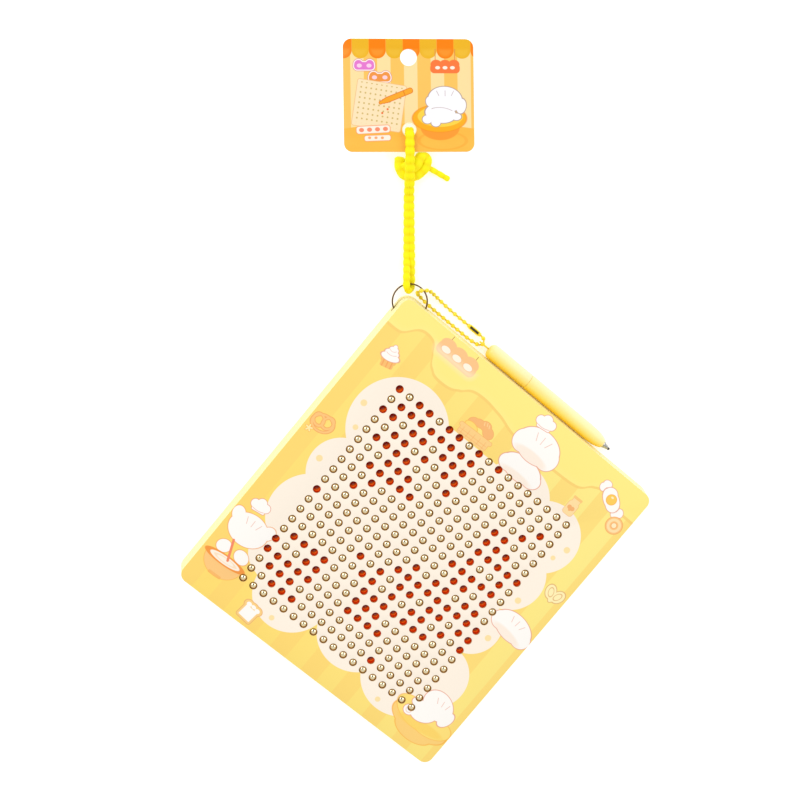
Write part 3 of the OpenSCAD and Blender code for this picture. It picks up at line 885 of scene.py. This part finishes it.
def smooth_route(points, step):
    """Evenly spaced points on a smooth curve through these ones."""
    dense = []
    for i in range(len(points) - 1):
        p0, p1, p2, p3 = (points[min(max(j, 0), len(points) - 1)] for j in (i - 1, i, i + 1, i + 2))
        square, cube = 2 * p0 - 5 * p1 + 4 * p2 - p3, 3 * p1 - p0 - 3 * p2 + p3
        for k in range(CURVE_STEPS):
            t = k / CURVE_STEPS
            dense.append(0.5 * (2 * p1 + (p2 - p0) * t + square * t * t + cube * t**3))
    dense.append(points[-1])
    total = sum((b - a).length for a, b in zip(dense, dense[1:]))
    count = max(2, round(total / step))
    spaced, walked, index = [dense[0]], 0.0, 0
    for i in range(1, count):
        goal = total * i / count
        while walked + (dense[index + 1] - dense[index]).length < goal:
            walked += (dense[index + 1] - dense[index]).length
            index += 1
        span = (dense[index + 1] - dense[index]).length
        spaced.append(dense[index].lerp(dense[index + 1], (goal - walked) / span))
    return [*spaced, dense[-1]], total


def sweep(bm, route, radii, swells, sides):
    """A closed round tube along a route, with its swelling kept for the material."""
    layer = bm.verts.layers.float.get("swell") or bm.verts.layers.float.new("swell")
    up, before, edges = Vector((0.2, 0.3, 1)), None, None
    for i, point in enumerate(route):
        ahead = (route[min(i + 1, len(route) - 1)] - route[max(i - 1, 0)]).normalized()
        up = (up - up.dot(ahead) * ahead).normalized()
        turn = Matrix((ahead.cross(up), up, ahead)).transposed().to_4x4()
        place = Matrix.Translation(point) @ turn @ Matrix.Diagonal((radii[i], radii[i], radii[i], 1))
        if before is None:
            verts = bmesh.ops.create_circle(bm, cap_ends=True, segments=sides, radius=1.0)["verts"]
            edges = list({edge for vert in verts for edge in vert.link_edges})
            bmesh.ops.transform(bm, matrix=place, verts=verts)
        else:
            made = bmesh.ops.extrude_edge_only(bm, edges=edges)["geom"]
            verts = [item for item in made if isinstance(item, bmesh.types.BMVert)]
            fresh = set(verts)
            rims = [item for item in made if isinstance(item, bmesh.types.BMEdge)]
            edges = [edge for edge in rims if set(edge.verts) <= fresh]
            bmesh.ops.transform(bm, matrix=place @ before.inverted(), verts=verts)
        for vert in verts:
            vert[layer] = swells[i]
        before = place
    bmesh.ops.edgeloop_fill(bm, edges=edges)


def cord_piece(name, body, route, radii, swells, sides, finish, node, sharp=70):
    bm = bmesh.new()
    sweep(bm, route, radii, swells, sides)
    return add_piece(name, bm, body, [finish], [node], sharp=sharp)


def outline(bm, points):
    """A closed loop of edges through flat points."""
    verts = [bm.verts.new(point) for point in points]
    return [bm.edges.new((a, b)) for a, b in zip(verts, verts[1:] + verts[:1])]


def rounded_corners(width, height, radius, steps):
    """Points round a rectangle with round corners, centred on the origin."""
    points = []
    for quarter, (sx, sy) in enumerate(((1, 1), (-1, 1), (-1, -1), (1, -1))):
        for k in range(steps + 1):
            angle = math.radians(90 * quarter + 90 * k / steps)
            points.append((
                sx * (width / 2 - radius) + radius * math.cos(angle),
                sy * (height / 2 - radius) + radius * math.sin(angle), 0,
            ))
    return points


def punched_plate(bm, rim, holes, thickness, hole_steps):
    """A flat plate from z 0 up, with round holes: (x, y, radius)."""
    edges = outline(bm, rim)
    for x, y, radius in holes:
        made = bmesh.ops.create_circle(
            bm, cap_ends=False, segments=hole_steps, radius=radius, matrix=Matrix.Translation((x, y, 0))
        )
        edges += list({edge for vert in made["verts"] for edge in vert.link_edges})
    bmesh.ops.triangle_fill(bm, use_beauty=True, use_dissolve=False, edges=edges)
    raised = bmesh.ops.extrude_face_region(bm, geom=bm.faces[:])["geom"]
    verts = [item for item in raised if isinstance(item, bmesh.types.BMVert)]
    bmesh.ops.translate(bm, vec=(0, 0, thickness), verts=verts)
    bmesh.ops.recalc_face_normals(bm, faces=bm.faces)


def rim_edges(bm, z, steep=0.5):
    """Edges at height z between a flat face and a wall."""
    found = []
    for edge in bm.edges:
        if all(abs(vert.co.z - z) < 1e-4 for vert in edge.verts) and len(edge.link_faces) == 2:
            if edge.calc_face_angle(0.0) > steep:
                found.append(edge)
    return found


def bevel(bm, edges, offset, segments):
    bmesh.ops.bevel(
        bm, geom=edges, offset=offset, offset_type="OFFSET", segments=segments, profile=0.5,
        affect="EDGES", material=-1, clamp_overlap=True,
    )


def turned(bm, profile, start, steps=48):
    """A solid turned about the X axis through start: (distance along, radius) from end to end."""
    verts = [bm.verts.new(start + Vector((along, 0, radius))) for along, radius in profile]
    edges = [bm.edges.new(pair) for pair in zip(verts, verts[1:])]
    bmesh.ops.spin(
        bm, geom=verts + edges, cent=start, axis=(1, 0, 0), dvec=(0, 0, 0), angle=math.tau, steps=steps,
        use_merge=True, use_duplicate=False,
    )
    bmesh.ops.remove_doubles(bm, verts=bm.verts, dist=1e-3)
    bmesh.ops.dissolve_degenerate(bm, edges=bm.edges, dist=1e-4)
    bmesh.ops.recalc_face_normals(bm, faces=bm.faces)


def ball_places(node):
    """Centres of the balls of a CAD node, found from the holes' spacing."""
    layout = settings("holes")
    found = set()
    for vert in frame["nodes"][node].data.vertices:
        column = round((vert.co.x / MM) / layout.pitch - 0.5)
        row = round((vert.co.y / MM - layout.first_row) / layout.pitch)
        found.add((column, row))
    low, high = box_mm(node)
    z = (low.z + high.z) / 2
    return [
        Vector(((column + 0.5) * layout.pitch, layout.first_row + row * layout.pitch, z))
        for column, row in sorted(found)
    ]


BALL_NODES = sorted(node for node in frame["nodes"] if "_balls_" in node)


# ---------------------------------------------------------------- settings


def size_mm(name, description, default, low=0.01):
    """A length given in millimetres and kept in metres."""
    return FloatProperty(
        name=name, description=description, default=default * MM, min=low * MM, unit="LENGTH", precision=5
    )


def tint(name, description, default):
    return FloatVectorProperty(
        name=name, description=description, subtype="COLOR", default=default, min=0, max=1
    )


def keys(group):
    return [key for key in group.bl_rna.properties.keys() if key not in {"rna_type", "name"}]


def settings(name):
    """One group of settings, with its lengths in millimetres."""
    group, values = getattr(bpy.context.scene, f"ball_board_{name}"), {}
    for key in keys(group):
        value = getattr(group, key)
        is_length = group.bl_rna.properties[key].unit == "LENGTH"
        values[key] = round(value / MM, 4) if is_length else value
    return SimpleNamespace(**values)


class BoardHoles(PropertyGroup):
    pitch: size_mm("Pitch", "Distance between neighbouring holes", 5.0, 3.0)
    first_row: size_mm("First row", "Height of the upper row of holes over the board's middle", 40.4)
    radius: size_mm("Radius", "Radius of a hole", 1.55, 0.5)
    chamfer: size_mm("Chamfer", "Chamfer round each hole", 0.12)
    edge: size_mm("Edge", "Rounding of the face's outer edge", 0.5, 0.05)
    corner: size_mm("Corner", "Corner radius of the face", 3.5, 0.5)
    facets: IntProperty(name="Facets", description="Sides of a hole", default=24, min=12, max=48)


class CordSizes(PropertyGroup):
    loop: size_mm("Loop", "Extra radius of the strap at the ring", 0.3, 0.0)
    strap: size_mm("Strap", "Diameter of the strap over its beads at the tag", 2.24, 1.0)
    closeness: FloatProperty(
        name="Closeness", description="Share of the strands' distance kept at the tag", default=0.55,
        min=0.3,
        subtype="FACTOR",
    )
    bead_pitch: size_mm("Bead pitch", "Distance between the strap's beads", 3.1, 1.0)
    groove: size_mm("Groove", "Depth of the strap's grooves", 0.36, 0.0)
    knot: size_mm("Knot", "Radius of the knot's cord", 2.15, 0.8)
    chain: size_mm("Chain", "Diameter of the chain's beads", 1.7, 0.5)
    chain_pitch: size_mm("Chain pitch", "Distance between the chain's beads", 2.4, 1.0)
    link: size_mm("Link", "Radius of the chain's links", 0.36, 0.1)


class PenSizes(PropertyGroup):
    oval: FloatProperty(name="Oval", description="Width of the pen over its height", default=1.04, min=1.0)
    rounding: size_mm("End rounding", "Length of the cap's rounded end", 2.2, 0.2)
    groove: size_mm("Parting groove", "Depth of the groove between cap and barrel", 0.12, 0.0)
    taper: size_mm("Taper", "Length of the barrel's tapered nose", 8.0, 1.0)
    eye: size_mm("Eye", "Middle radius of the wire eye", 1.9, 0.5)
    eye_wire: size_mm("Eye wire", "Radius of the eye's wire", 0.35, 0.1)


class RingSizes(PropertyGroup):
    width: size_mm("Width", "Radial width of the ring's wire", 0.56, 0.2)
    height: size_mm("Height", "Height of one turn", 0.6, 0.2)
    rise: size_mm("Rise", "Rise from one turn to the next", 0.64, 0.2)
    turns: FloatProperty(name="Turns", description="Turns of the wire", default=1.96, min=1.0, max=3.0)


class CardSizes(PropertyGroup):
    corner: size_mm("Corner", "Corner radius of the tag", 3.2, 0.5)
    strap_hole: size_mm("Strap hole", "Radius of the hole for the strap", 2.4, 1.0)
    peg_hole: size_mm("Peg hole", "Radius of the hole for a shop's peg", 3.15, 1.0)
    peg_down: size_mm("Peg hole down", "Distance of the peg hole from the upper edge", 7.0, 4.0)
    edge: size_mm("Edge", "Rounding of the tag's edges", 0.08)


class Colours(PropertyGroup):
    icing: tint("Icing", "Icing printed on the face", light(254, 236, 136))
    shell: tint("Shell", "Plastic of the rear shell", light(255, 238, 158))
    # The pen's pale side is a painted highlight
    pen: tint("Pen", "Plastic of the pen on its pale side", light(255, 247, 190))
    strap: tint("Strap", "Rubber of the strap", light(255, 246, 0))
    chain: tint("Chain", "Lacquer of the ball chain", light(255, 238, 40))
    cells: tint("Cells", "Silicone of the cells under the holes", light(216, 60, 12))
    ring: tint("Ring", "Wire of the split ring", light(84, 58, 38))


class Studio(PropertyGroup):
    lens: FloatProperty(
        name="Lens", description="Focal length of the camera", default=56.7, min=20.0, unit="CAMERA"
    )
    sky: FloatProperty(name="Sky", description="Strength of the even light all round", default=0.7, min=0.0)
    key: FloatProperty(
        name="Key", description="Power of the main light", default=2.8, min=0.0, unit="POWER"
    )
    fill: FloatProperty(
        name="Fill", description="Power of the second light", default=2.2, min=0.0, unit="POWER"
    )
    glow: FloatProperty(
        name="Floor glow", description="Own light of the white floor", default=0.42, min=0.0
    )
    paper: tint("Paper", "Colour of the floor", (0.8, 0.8, 0.8))


# ---------------------------------------------------------------- operators


class BALLBOARD_OT_camera(Operator):
    """Places the camera over the board, turned so that the strap points up"""

    bl_idname = "ballboard.camera"
    bl_label = "Place Camera"

    def execute(self, context):
        data = bpy.data.cameras.new("camera")
        data.sensor_width = 36.0
        data.lens = settings("studio").lens
        data.clip_start, data.clip_end = 0.01, 50.0
        camera = bpy.data.objects.new("camera", data)
        context.scene.collection.objects.link(camera)
        ahead = VIEW_AHEAD.normalized()
        up = VIEW_RIGHT.normalized().cross(ahead).normalized()
        turn = Matrix((ahead.cross(up), up, -ahead)).transposed().to_4x4()
        camera.matrix_world = Matrix.Translation(VIEW_FROM * MM) @ turn
        context.scene.camera = camera
        return {"FINISHED"}


class BALLBOARD_OT_strap(Operator):
    """Makes the doubled beaded strap, its knot and its free end"""

    bl_idname = "ballboard.strap"
    bl_label = "Make Strap"

    def execute(self, context):
        sizes = settings("cords")
        rubber = strap_rubber()

        def strand(name, node, points, radius, step, groove=sizes.groove, loop=0.0):
            route, total = smooth_route(points, step)
            swells = [
                abs(math.cos(math.pi * total * (i / (len(route) - 1) - 0.5) / sizes.bead_pitch)) ** 0.6
                for i in range(len(route))
            ]
            radii = [radius - groove * (1 - swell) for swell in swells]
            for i in range(len(radii)):
                radii[i] += loop * math.sin(math.pi * i / (len(radii) - 1))
            for i, share in ROUND_ENDS:
                radii[i] *= share
            piece = cord_piece(name, "strap", route, radii, swells, CORD_SIDES, rubber, node)
            return piece, route, total

        radius, floor = sizes.strap / 2, sizes.strap / 2 + sizes.loop
        points = []
        for along, across, up in STRAP_ROUTE:
            spread = sizes.closeness + (1 - sizes.closeness) * along / STRAP_REACH
            points.append(on_strap((along, across * spread, max(up, floor))))
        strap, route, total = strand("strap_cord", "strap", points, radius, 0.3, loop=sizes.loop)
        points = [on_strap(point) for point in KNOT_ROUTE]
        knot = strand("strap_tie", "strap_knot", points, sizes.knot, 0.4, sizes.groove / 2)[0]
        points = [on_strap((along, across, max(up, radius))) for along, across, up in TAIL_ROUTE]
        tail = strand("strap_end", "strap_tail", points, radius, 0.3, sizes.groove / 2)[0]

        route[0] * MM
        total * MM
        [point * MM for point in route]
        return {"FINISHED"}


class BALLBOARD_OT_chain(Operator):
    """Makes the ball chain between the ring and the pen, with its connector"""

    bl_idname = "ballboard.chain"
    bl_label = "Make Ball Chain"

    def execute(self, context):
        sizes = settings("cords")
        brass = chain_brass()
        route, total = smooth_route([by_ring(p) for p in CHAIN_ROUTE], 0.15)
        bead = sizes.chain / 2
        radii, swells = [], []
        for i in range(len(route)):
            off = (total * i / (len(route) - 1) + 0.9) % sizes.chain_pitch - sizes.chain_pitch / 2
            radius = max(math.sqrt(max(bead**2 - off**2, 0.0)), sizes.link)
            radii.append(radius)
            swells.append(min(1.0, (radius - sizes.link) / 0.3))
        chain = cord_piece(
            "bead_chain", "chain", route, radii, swells, WIRE_SIDES, brass, "ball_chain", sharp=75
        )

        low, high = box_mm("chain_connector")
        centre = (low + high) / 2
        start, length, radius = Vector((low.x, centre.y, centre.z)), high.x - low.x, (high.y - low.y) / 2
        wall = 0.25
        profile = [
            (0, 0), (0, 0.4), (0.12, radius - 0.3), (0.4, radius), (length - 0.5, radius),
            (length - 0.15, radius - 0.12),
            (length, radius - 0.3), (length - 0.1, radius - 0.42), (0.8, radius - wall - 0.05), (0.5, 0),
        ]
        bm = bmesh.new()
        turned(bm, profile, start, LATHE_STEPS)
        slot = [
            face for face in bm.faces
            if face.normal.z > 0.85 and 0.6 < face.calc_center_median().x - start.x < length - 0.6
        ]
        bmesh.ops.inset_region(
            bm, faces=slot, thickness=0.12, depth=0, use_boundary=True, use_even_offset=True
        )
        # The slot faces take the painted shadow
        for face in slot:
            face.material_index = 1
        bmesh.ops.translate(
            bm, vec=(0, 0, -0.22), verts=list({vert for face in slot for vert in face.verts})
        )
        layer = bm.verts.layers.float.new("swell")
        for vert in bm.verts:
            vert[layer] = 0.75
        connector = add_piece(
            "chain_coupling", bm, "chain", [brass, dark_slot()], ["chain_connector"]
        )

        route[0] * MM
        total * MM
        [point * MM for point in route[::2]]
        return {"FINISHED"}


class BALLBOARD_OT_face(Operator):
    """Makes the printed front panel with its grid of chamfered holes"""

    bl_idname = "ballboard.face"
    bl_label = "Make Printed Face"

    def execute(self, context):
        sizes = settings("holes")
        holes = [(p.x, p.y, sizes.radius) for node in BALL_NODES for p in ball_places(node)]
        width, height = PANEL_HIGH.x - PANEL_LOW.x, PANEL_HIGH.y - PANEL_LOW.y
        thickness = FACE_HIGH.z - PANEL_LOW.z
        bm = bmesh.new()
        punched_plate(
            bm, rounded_corners(width, height, sizes.corner, CORNER_STEPS), holes, thickness, sizes.facets
        )
        rims = rim_edges(bm, thickness)

        def near_rim(point):
            return abs(point.x) > width / 2 - sizes.corner or abs(point.y) > height / 2 - sizes.corner

        outer = [edge for edge in rims if any(near_rim(vert.co) for vert in edge.verts)]
        inner = [edge for edge in rims if edge not in set(outer)]
        bevel(bm, outer, sizes.edge, 4)
        bevel(bm, [edge for edge in inner if edge.is_valid], sizes.chamfer, 2)
        for face in bm.faces:
            rim = near_rim(face.calc_center_median()) or face.normal.z < -0.3
            face.material_index = 0 if face.normal.z > 0.3 else 1 if rim else 2
        bmesh.ops.translate(bm, vec=(0, 0, PANEL_LOW.z), verts=bm.verts)
        panel = moulded_plastic("panel_plastic", light(254, 226, 130), light(255, 232, 146))
        add_piece(
            "printed_panel", bm, "board", [printed_face(), panel, hole_wall()],
            ["front_panel", "printed_sheet"], sharp=50,
        )
        return {"FINISHED"}


class BALLBOARD_OT_balls(Operator):
    """Makes the steel balls that are up and those pressed down into the red cells"""

    bl_idname = "ballboard.balls"
    bl_label = "Make Balls"

    def execute(self, context):
        steel, red = polished_steel(), red_ball()
        low, high = box_mm(BALL_NODES[0])
        radius = (high.z - low.z) / 2
        for node in BALL_NODES:
            bm = bmesh.new()
            for place in ball_places(node):
                bmesh.ops.create_uvsphere(
                    bm, u_segments=BALL_SEGMENTS, v_segments=BALL_RINGS, radius=radius,
                    matrix=Matrix.Translation(place),
                )
            raised = node.startswith("raised")
            body = node.replace("_balls", "")
            add_piece(
                f"{body}_ball_set", bm, body, [steel if raised else red], [node], sharp=90
            )
        return {"FINISHED"}


class BALLBOARD_OT_ring(Operator):
    """Makes the dark split ring from two turns of flat wire"""

    bl_idname = "ballboard.ring"
    bl_label = "Make Split Ring"

    def execute(self, context):
        sizes = settings("ring")
        radius = (RING_HIGH.x - RING_LOW.x) / 2 - sizes.width / 2
        bottom = RING.z - sizes.rise * sizes.turns / 2
        bm = bmesh.new()
        centre = Vector((RING.x, RING.y, bottom))
        start = math.radians(RING_START)
        made = bmesh.ops.create_grid(bm, x_segments=1, y_segments=1, size=0.5)["verts"]
        bmesh.ops.scale(bm, vec=(sizes.width, sizes.height, 1), verts=made)
        bmesh.ops.bevel(
            bm, geom=made, offset=0.2, offset_type="OFFSET", segments=3, profile=0.5,
            affect="VERTICES", material=-1,
        )
        upright = Matrix.Translation((radius, 0, 0)) @ Matrix.Rotation(math.radians(90), 4, "X")
        place = Matrix.Translation(centre) @ Matrix.Rotation(start, 4, "Z") @ upright
        bmesh.ops.transform(bm, matrix=place, verts=bm.verts)
        bmesh.ops.spin(
            bm, geom=bm.verts[:] + bm.edges[:] + bm.faces[:], cent=centre, axis=(0, 0, 1),
            dvec=(0, 0, sizes.rise * sizes.turns / RING_STEPS), angle=math.tau * sizes.turns,
            steps=RING_STEPS, use_merge=False, use_duplicate=False,
        )
        bmesh.ops.holes_fill(bm, edges=bm.edges, sides=0)
        bmesh.ops.recalc_face_normals(bm, faces=bm.faces)
        add_piece("split_ring", bm, "ring", [dark_wire()], ["key_ring"], sharp=60)
        return {"FINISHED"}


class BALLBOARD_OT_pen(Operator):
    """Makes the magnetic pen: cap, barrel, metal point and wire eye"""

    bl_idname = "ballboard.pen"
    bl_label = "Make Pen"

    def execute(self, context):
        sizes = settings("pen")
        r, cap = PEN_RADIUS, CAP_HIGH.x - CAP_LOW.x
        nose = box_mm("pen_barrel")[1].x - PEN_START.x
        tip = box_mm("pen_point")[1].x - PEN_START.x
        plastic = pen_plastic()

        bm = bmesh.new()
        dome = []
        for turn in (math.radians(t) for t in range(0, 91, 10)):
            dome.append((sizes.rounding * (1 - math.cos(turn)), r * math.sin(turn) ** 0.8))
        dome[0] = (0, 0)
        turned(
            bm, [*dome, (cap - 0.25, r), (cap - 0.06, r - sizes.groove), (cap, r - 0.3), (cap, 0)],
            PEN_START,
        )
        bmesh.ops.scale(bm, vec=(1, sizes.oval, 1), space=Matrix.Translation(-PEN_START), verts=bm.verts)
        add_piece("pen_cap_shell", bm, "pen", [plastic], ["pen_cap"])

        bm = bmesh.new()
        start = nose - sizes.taper
        profile = [
            (cap + 0.04, 0), (cap + 0.04, r - 0.3), (cap + 0.1, r - sizes.groove), (cap + 0.3, r),
            (start, r), (start + 0.3 * sizes.taper, r - 0.07),
            (start + 0.55 * sizes.taper, r - 0.26), (start + 0.8 * sizes.taper, r - 0.7),
            (nose - 0.5, r - 1.12), (nose - 0.1, r - 1.3),
            (nose, r - 1.45), (nose, 0),
        ]
        turned(bm, profile, PEN_START)
        bmesh.ops.scale(bm, vec=(1, sizes.oval, 1), space=Matrix.Translation(-PEN_START), verts=bm.verts)
        add_piece("pen_barrel_shell", bm, "pen", [plastic], ["pen_barrel"])

        bm = bmesh.new()
        profile = [
            (nose - 0.3, 0), (nose - 0.3, 1.3), (nose + 0.1, 1.42), (nose + 0.7, 1.3), (nose + 0.9, 1.12),
            (tip - 1, 0.72), (tip - 0.85, 0.6),
            (tip - 0.8, 0.58), (tip - 0.3, 0.5), (tip - 0.08, 0.34), (tip, 0),
        ]
        turned(bm, profile, PEN_START, LATHE_STEPS)
        for face in bm.faces:
            if face.calc_center_median().x > PEN_START.x + tip - 0.86:
                face.material_index = 1
        add_piece("pen_tip_cone", bm, "pen", [pen_metal(), pen_ink_tip()], ["pen_point"])

        centre = -sizes.eye - sizes.eye_wire
        ring = [
            (centre + sizes.eye * math.cos(math.radians(t)), 0, sizes.eye * math.sin(math.radians(t)))
            for t in range(8, 353, 8)
        ]
        wire = [(2.5, 0, 0.25), (0.6, 0, 0.25), *ring, (0.6, 0, -0.25), (2.5, 0, -0.25)]
        wire = [PEN_START + Vector(point) for point in wire]
        radii, swells = [sizes.eye_wire] * len(wire), [0.6] * len(wire)
        cord_piece(
            "pen_wire_eye", "pen", wire, radii, swells, WIRE_SIDES, chain_brass(), "pen_eye"
        )
        return {"FINISHED"}


class BALLBOARD_OT_card(Operator):
    """Makes the printed card hang tag with its two holes"""

    bl_idname = "ballboard.card"
    bl_label = "Make Hang Tag"

    def execute(self, context):
        flat = Matrix.Translation(TAG_HOLE) @ CARD_TURN.to_4x4()
        back = flat.inverted()
        spots = [back @ (vert.co / MM) for vert in frame["nodes"]["hang_tag"].data.vertices]
        low = Vector([min(p[k] for p in spots) for k in range(3)])
        high = Vector([max(p[k] for p in spots) for k in range(3)])
        centre, size = (low + high) / 2, high - low
        sizes, strap_hole = settings("card"), -centre.y
        holes = [(0, strap_hole, sizes.strap_hole), (0, size.y / 2 - sizes.peg_down, sizes.peg_hole)]
        bm = bmesh.new()
        punched_plate(bm, rounded_corners(size.x, size.y, sizes.corner, CORNER_STEPS), holes, size.z, 48)
        bevel(bm, rim_edges(bm, size.z) + rim_edges(bm, 0), sizes.edge, 2)
        for face in bm.faces:
            face.material_index = 0 if face.normal.z > 0.6 else 1
        bmesh.ops.transform(
            bm, matrix=flat @ Matrix.Translation((centre.x, centre.y, low.z)), verts=bm.verts
        )
        top = flat @ Vector((centre.x, centre.y, high.z))
        front = printed_card(top, (size.x, size.y, strap_hole))
        add_piece("card_tag", bm, "tag", [front, plain_card()], ["hang_tag"], sharp=60)
        return {"FINISHED"}


class BALLBOARD_OT_shell(Operator):
    """Gives the CAD pieces that stay their finishes"""

    bl_idname = "ballboard.shell"
    bl_label = "Finish Shell and Cells"

    def execute(self, context):
        finishes = {
            "rear_shell": moulded_plastic(
                "shell_plastic", settings("colours").shell, light(255, 243, 178), 0.36
            ),
            "cell_plate": red_silicone(),
            "magnet_sheet": moulded_plastic("magnet_rubber", light(62, 58, 54), light(84, 80, 74), 0.7),
            "foam_pad": moulded_plastic("white_foam", light(238, 238, 232), light(250, 250, 246), 0.85),
            "locating_frame": moulded_plastic(
                "frame_plastic", light(250, 228, 150), light(254, 236, 170), 0.4
            ),
            "pen_magnet": polished_steel(),
        }
        for node, finish in finishes.items():
            mesh = frame["nodes"][node].data
            mesh.materials.clear()
            mesh.materials.append(finish)
        return {"FINISHED"}


class BALLBOARD_OT_stage(Operator):
    """Lays the white floor and sets the soft studio light"""

    bl_idname = "ballboard.stage"
    bl_label = "Set Stage"

    def execute(self, context):
        studio = settings("studio")
        finish = Finish("white_paper")
        tooth = finish.speckle(300, 3.0)
        paper = finish.surface(
            tuple(studio.paper), tooth * 0.1 + 0.8, Specular_IOR_Level=0.0, Emission_Color=(1, 1, 1),
            Emission_Strength=studio.glow,
        )
        bm = bmesh.new()
        bmesh.ops.create_grid(bm, x_segments=1, y_segments=1, size=FLOOR_REACH)
        bmesh.ops.translate(bm, vec=(0, 0, -FLOOR_DROP), verts=bm.verts)
        floor = add_object("paper_floor", bm, [paper])

        # A dark camera body that only reflections see
        black = Finish("camera_black").surface(light(30, 26, 22), 0.6, Specular_IOR_Level=0.0)
        eye = context.scene.camera.matrix_world
        place = eye @ Matrix.Translation(CAMERA_BODY)
        bm = bmesh.new()
        bmesh.ops.create_circle(bm, cap_ends=True, segments=24, radius=CAMERA_BODY_RADIUS, matrix=place)
        body = add_object("camera_body", bm, [black])
        body.visible_camera = body.visible_diffuse = body.visible_shadow = body.visible_transmission = False

        world = bpy.data.worlds.new("studio")
        world.use_nodes = True
        sky = world.node_tree.nodes["Background"]
        sky.inputs["Color"].default_value = (1, 1, 1, 1)
        sky.inputs["Strength"].default_value = studio.sky
        context.scene.world = world

        across, upward = eye.to_3x3().col[0], eye.to_3x3().col[1]
        for name, power, size, where in (
            ("key_light", studio.key, 0.5, -across * 0.55 + upward * 0.5 + Vector((0, 0, 0.75))),
            ("fill_light", studio.fill, 0.6, across * 0.7 + upward * 0.2 + Vector((0, 0, 0.6))),
        ):
            data = bpy.data.lights.new(name, "AREA")
            data.shape, data.size, data.energy = "SQUARE", size, power
            lamp = bpy.data.objects.new(name, data)
            lamp.location = where
            lamp.rotation_euler = (-where).to_track_quat("-Z", "Y").to_euler()
            context.scene.collection.objects.link(lamp)
        context.scene.view_settings.view_transform = "Standard"
        return {"FINISHED"}


class BALLBOARD_PT_panel(Panel):
    """Lists the pieces of the drawing board"""

    bl_idname = "BALLBOARD_PT_panel"
    bl_label = "Ball Drawing Board"
    bl_space_type = "VIEW_3D"
    bl_region_type = "UI"
    bl_category = "Ball Board"

    def draw(self, context):
        layout = self.layout
        for operator in STEPS:
            layout.operator(operator.bl_idname)
        for name in SETTINGS:
            group, box = getattr(context.scene, name), layout.box()
            for key in keys(group):
                box.prop(group, key)


SETTINGS = {
    "ball_board_holes": BoardHoles,
    "ball_board_cords": CordSizes,
    "ball_board_pen": PenSizes,
    "ball_board_ring": RingSizes,
    "ball_board_card": CardSizes,
    "ball_board_colours": Colours,
    "ball_board_studio": Studio,
}
STEPS = (
    BALLBOARD_OT_camera,
    BALLBOARD_OT_strap,
    BALLBOARD_OT_chain,
    BALLBOARD_OT_face,
    BALLBOARD_OT_balls,
    BALLBOARD_OT_ring,
    BALLBOARD_OT_pen,
    BALLBOARD_OT_card,
    BALLBOARD_OT_shell,
    BALLBOARD_OT_stage,
)


def register():
    for cls in (*SETTINGS.values(), *STEPS, BALLBOARD_PT_panel):
        bpy.utils.register_class(cls)
    for name, group in SETTINGS.items():
        setattr(bpy.types.Scene, name, PointerProperty(type=group))


def unregister():
    for name in SETTINGS:
        delattr(bpy.types.Scene, name)
    for cls in reversed((*SETTINGS.values(), *STEPS, BALLBOARD_PT_panel)):
        bpy.utils.unregister_class(cls)


def main():
    register()
    for operator in STEPS:
        family, name = operator.bl_idname.split(".")
        getattr(getattr(bpy.ops, family), name)()


if __name__ == "__main__":
    main()
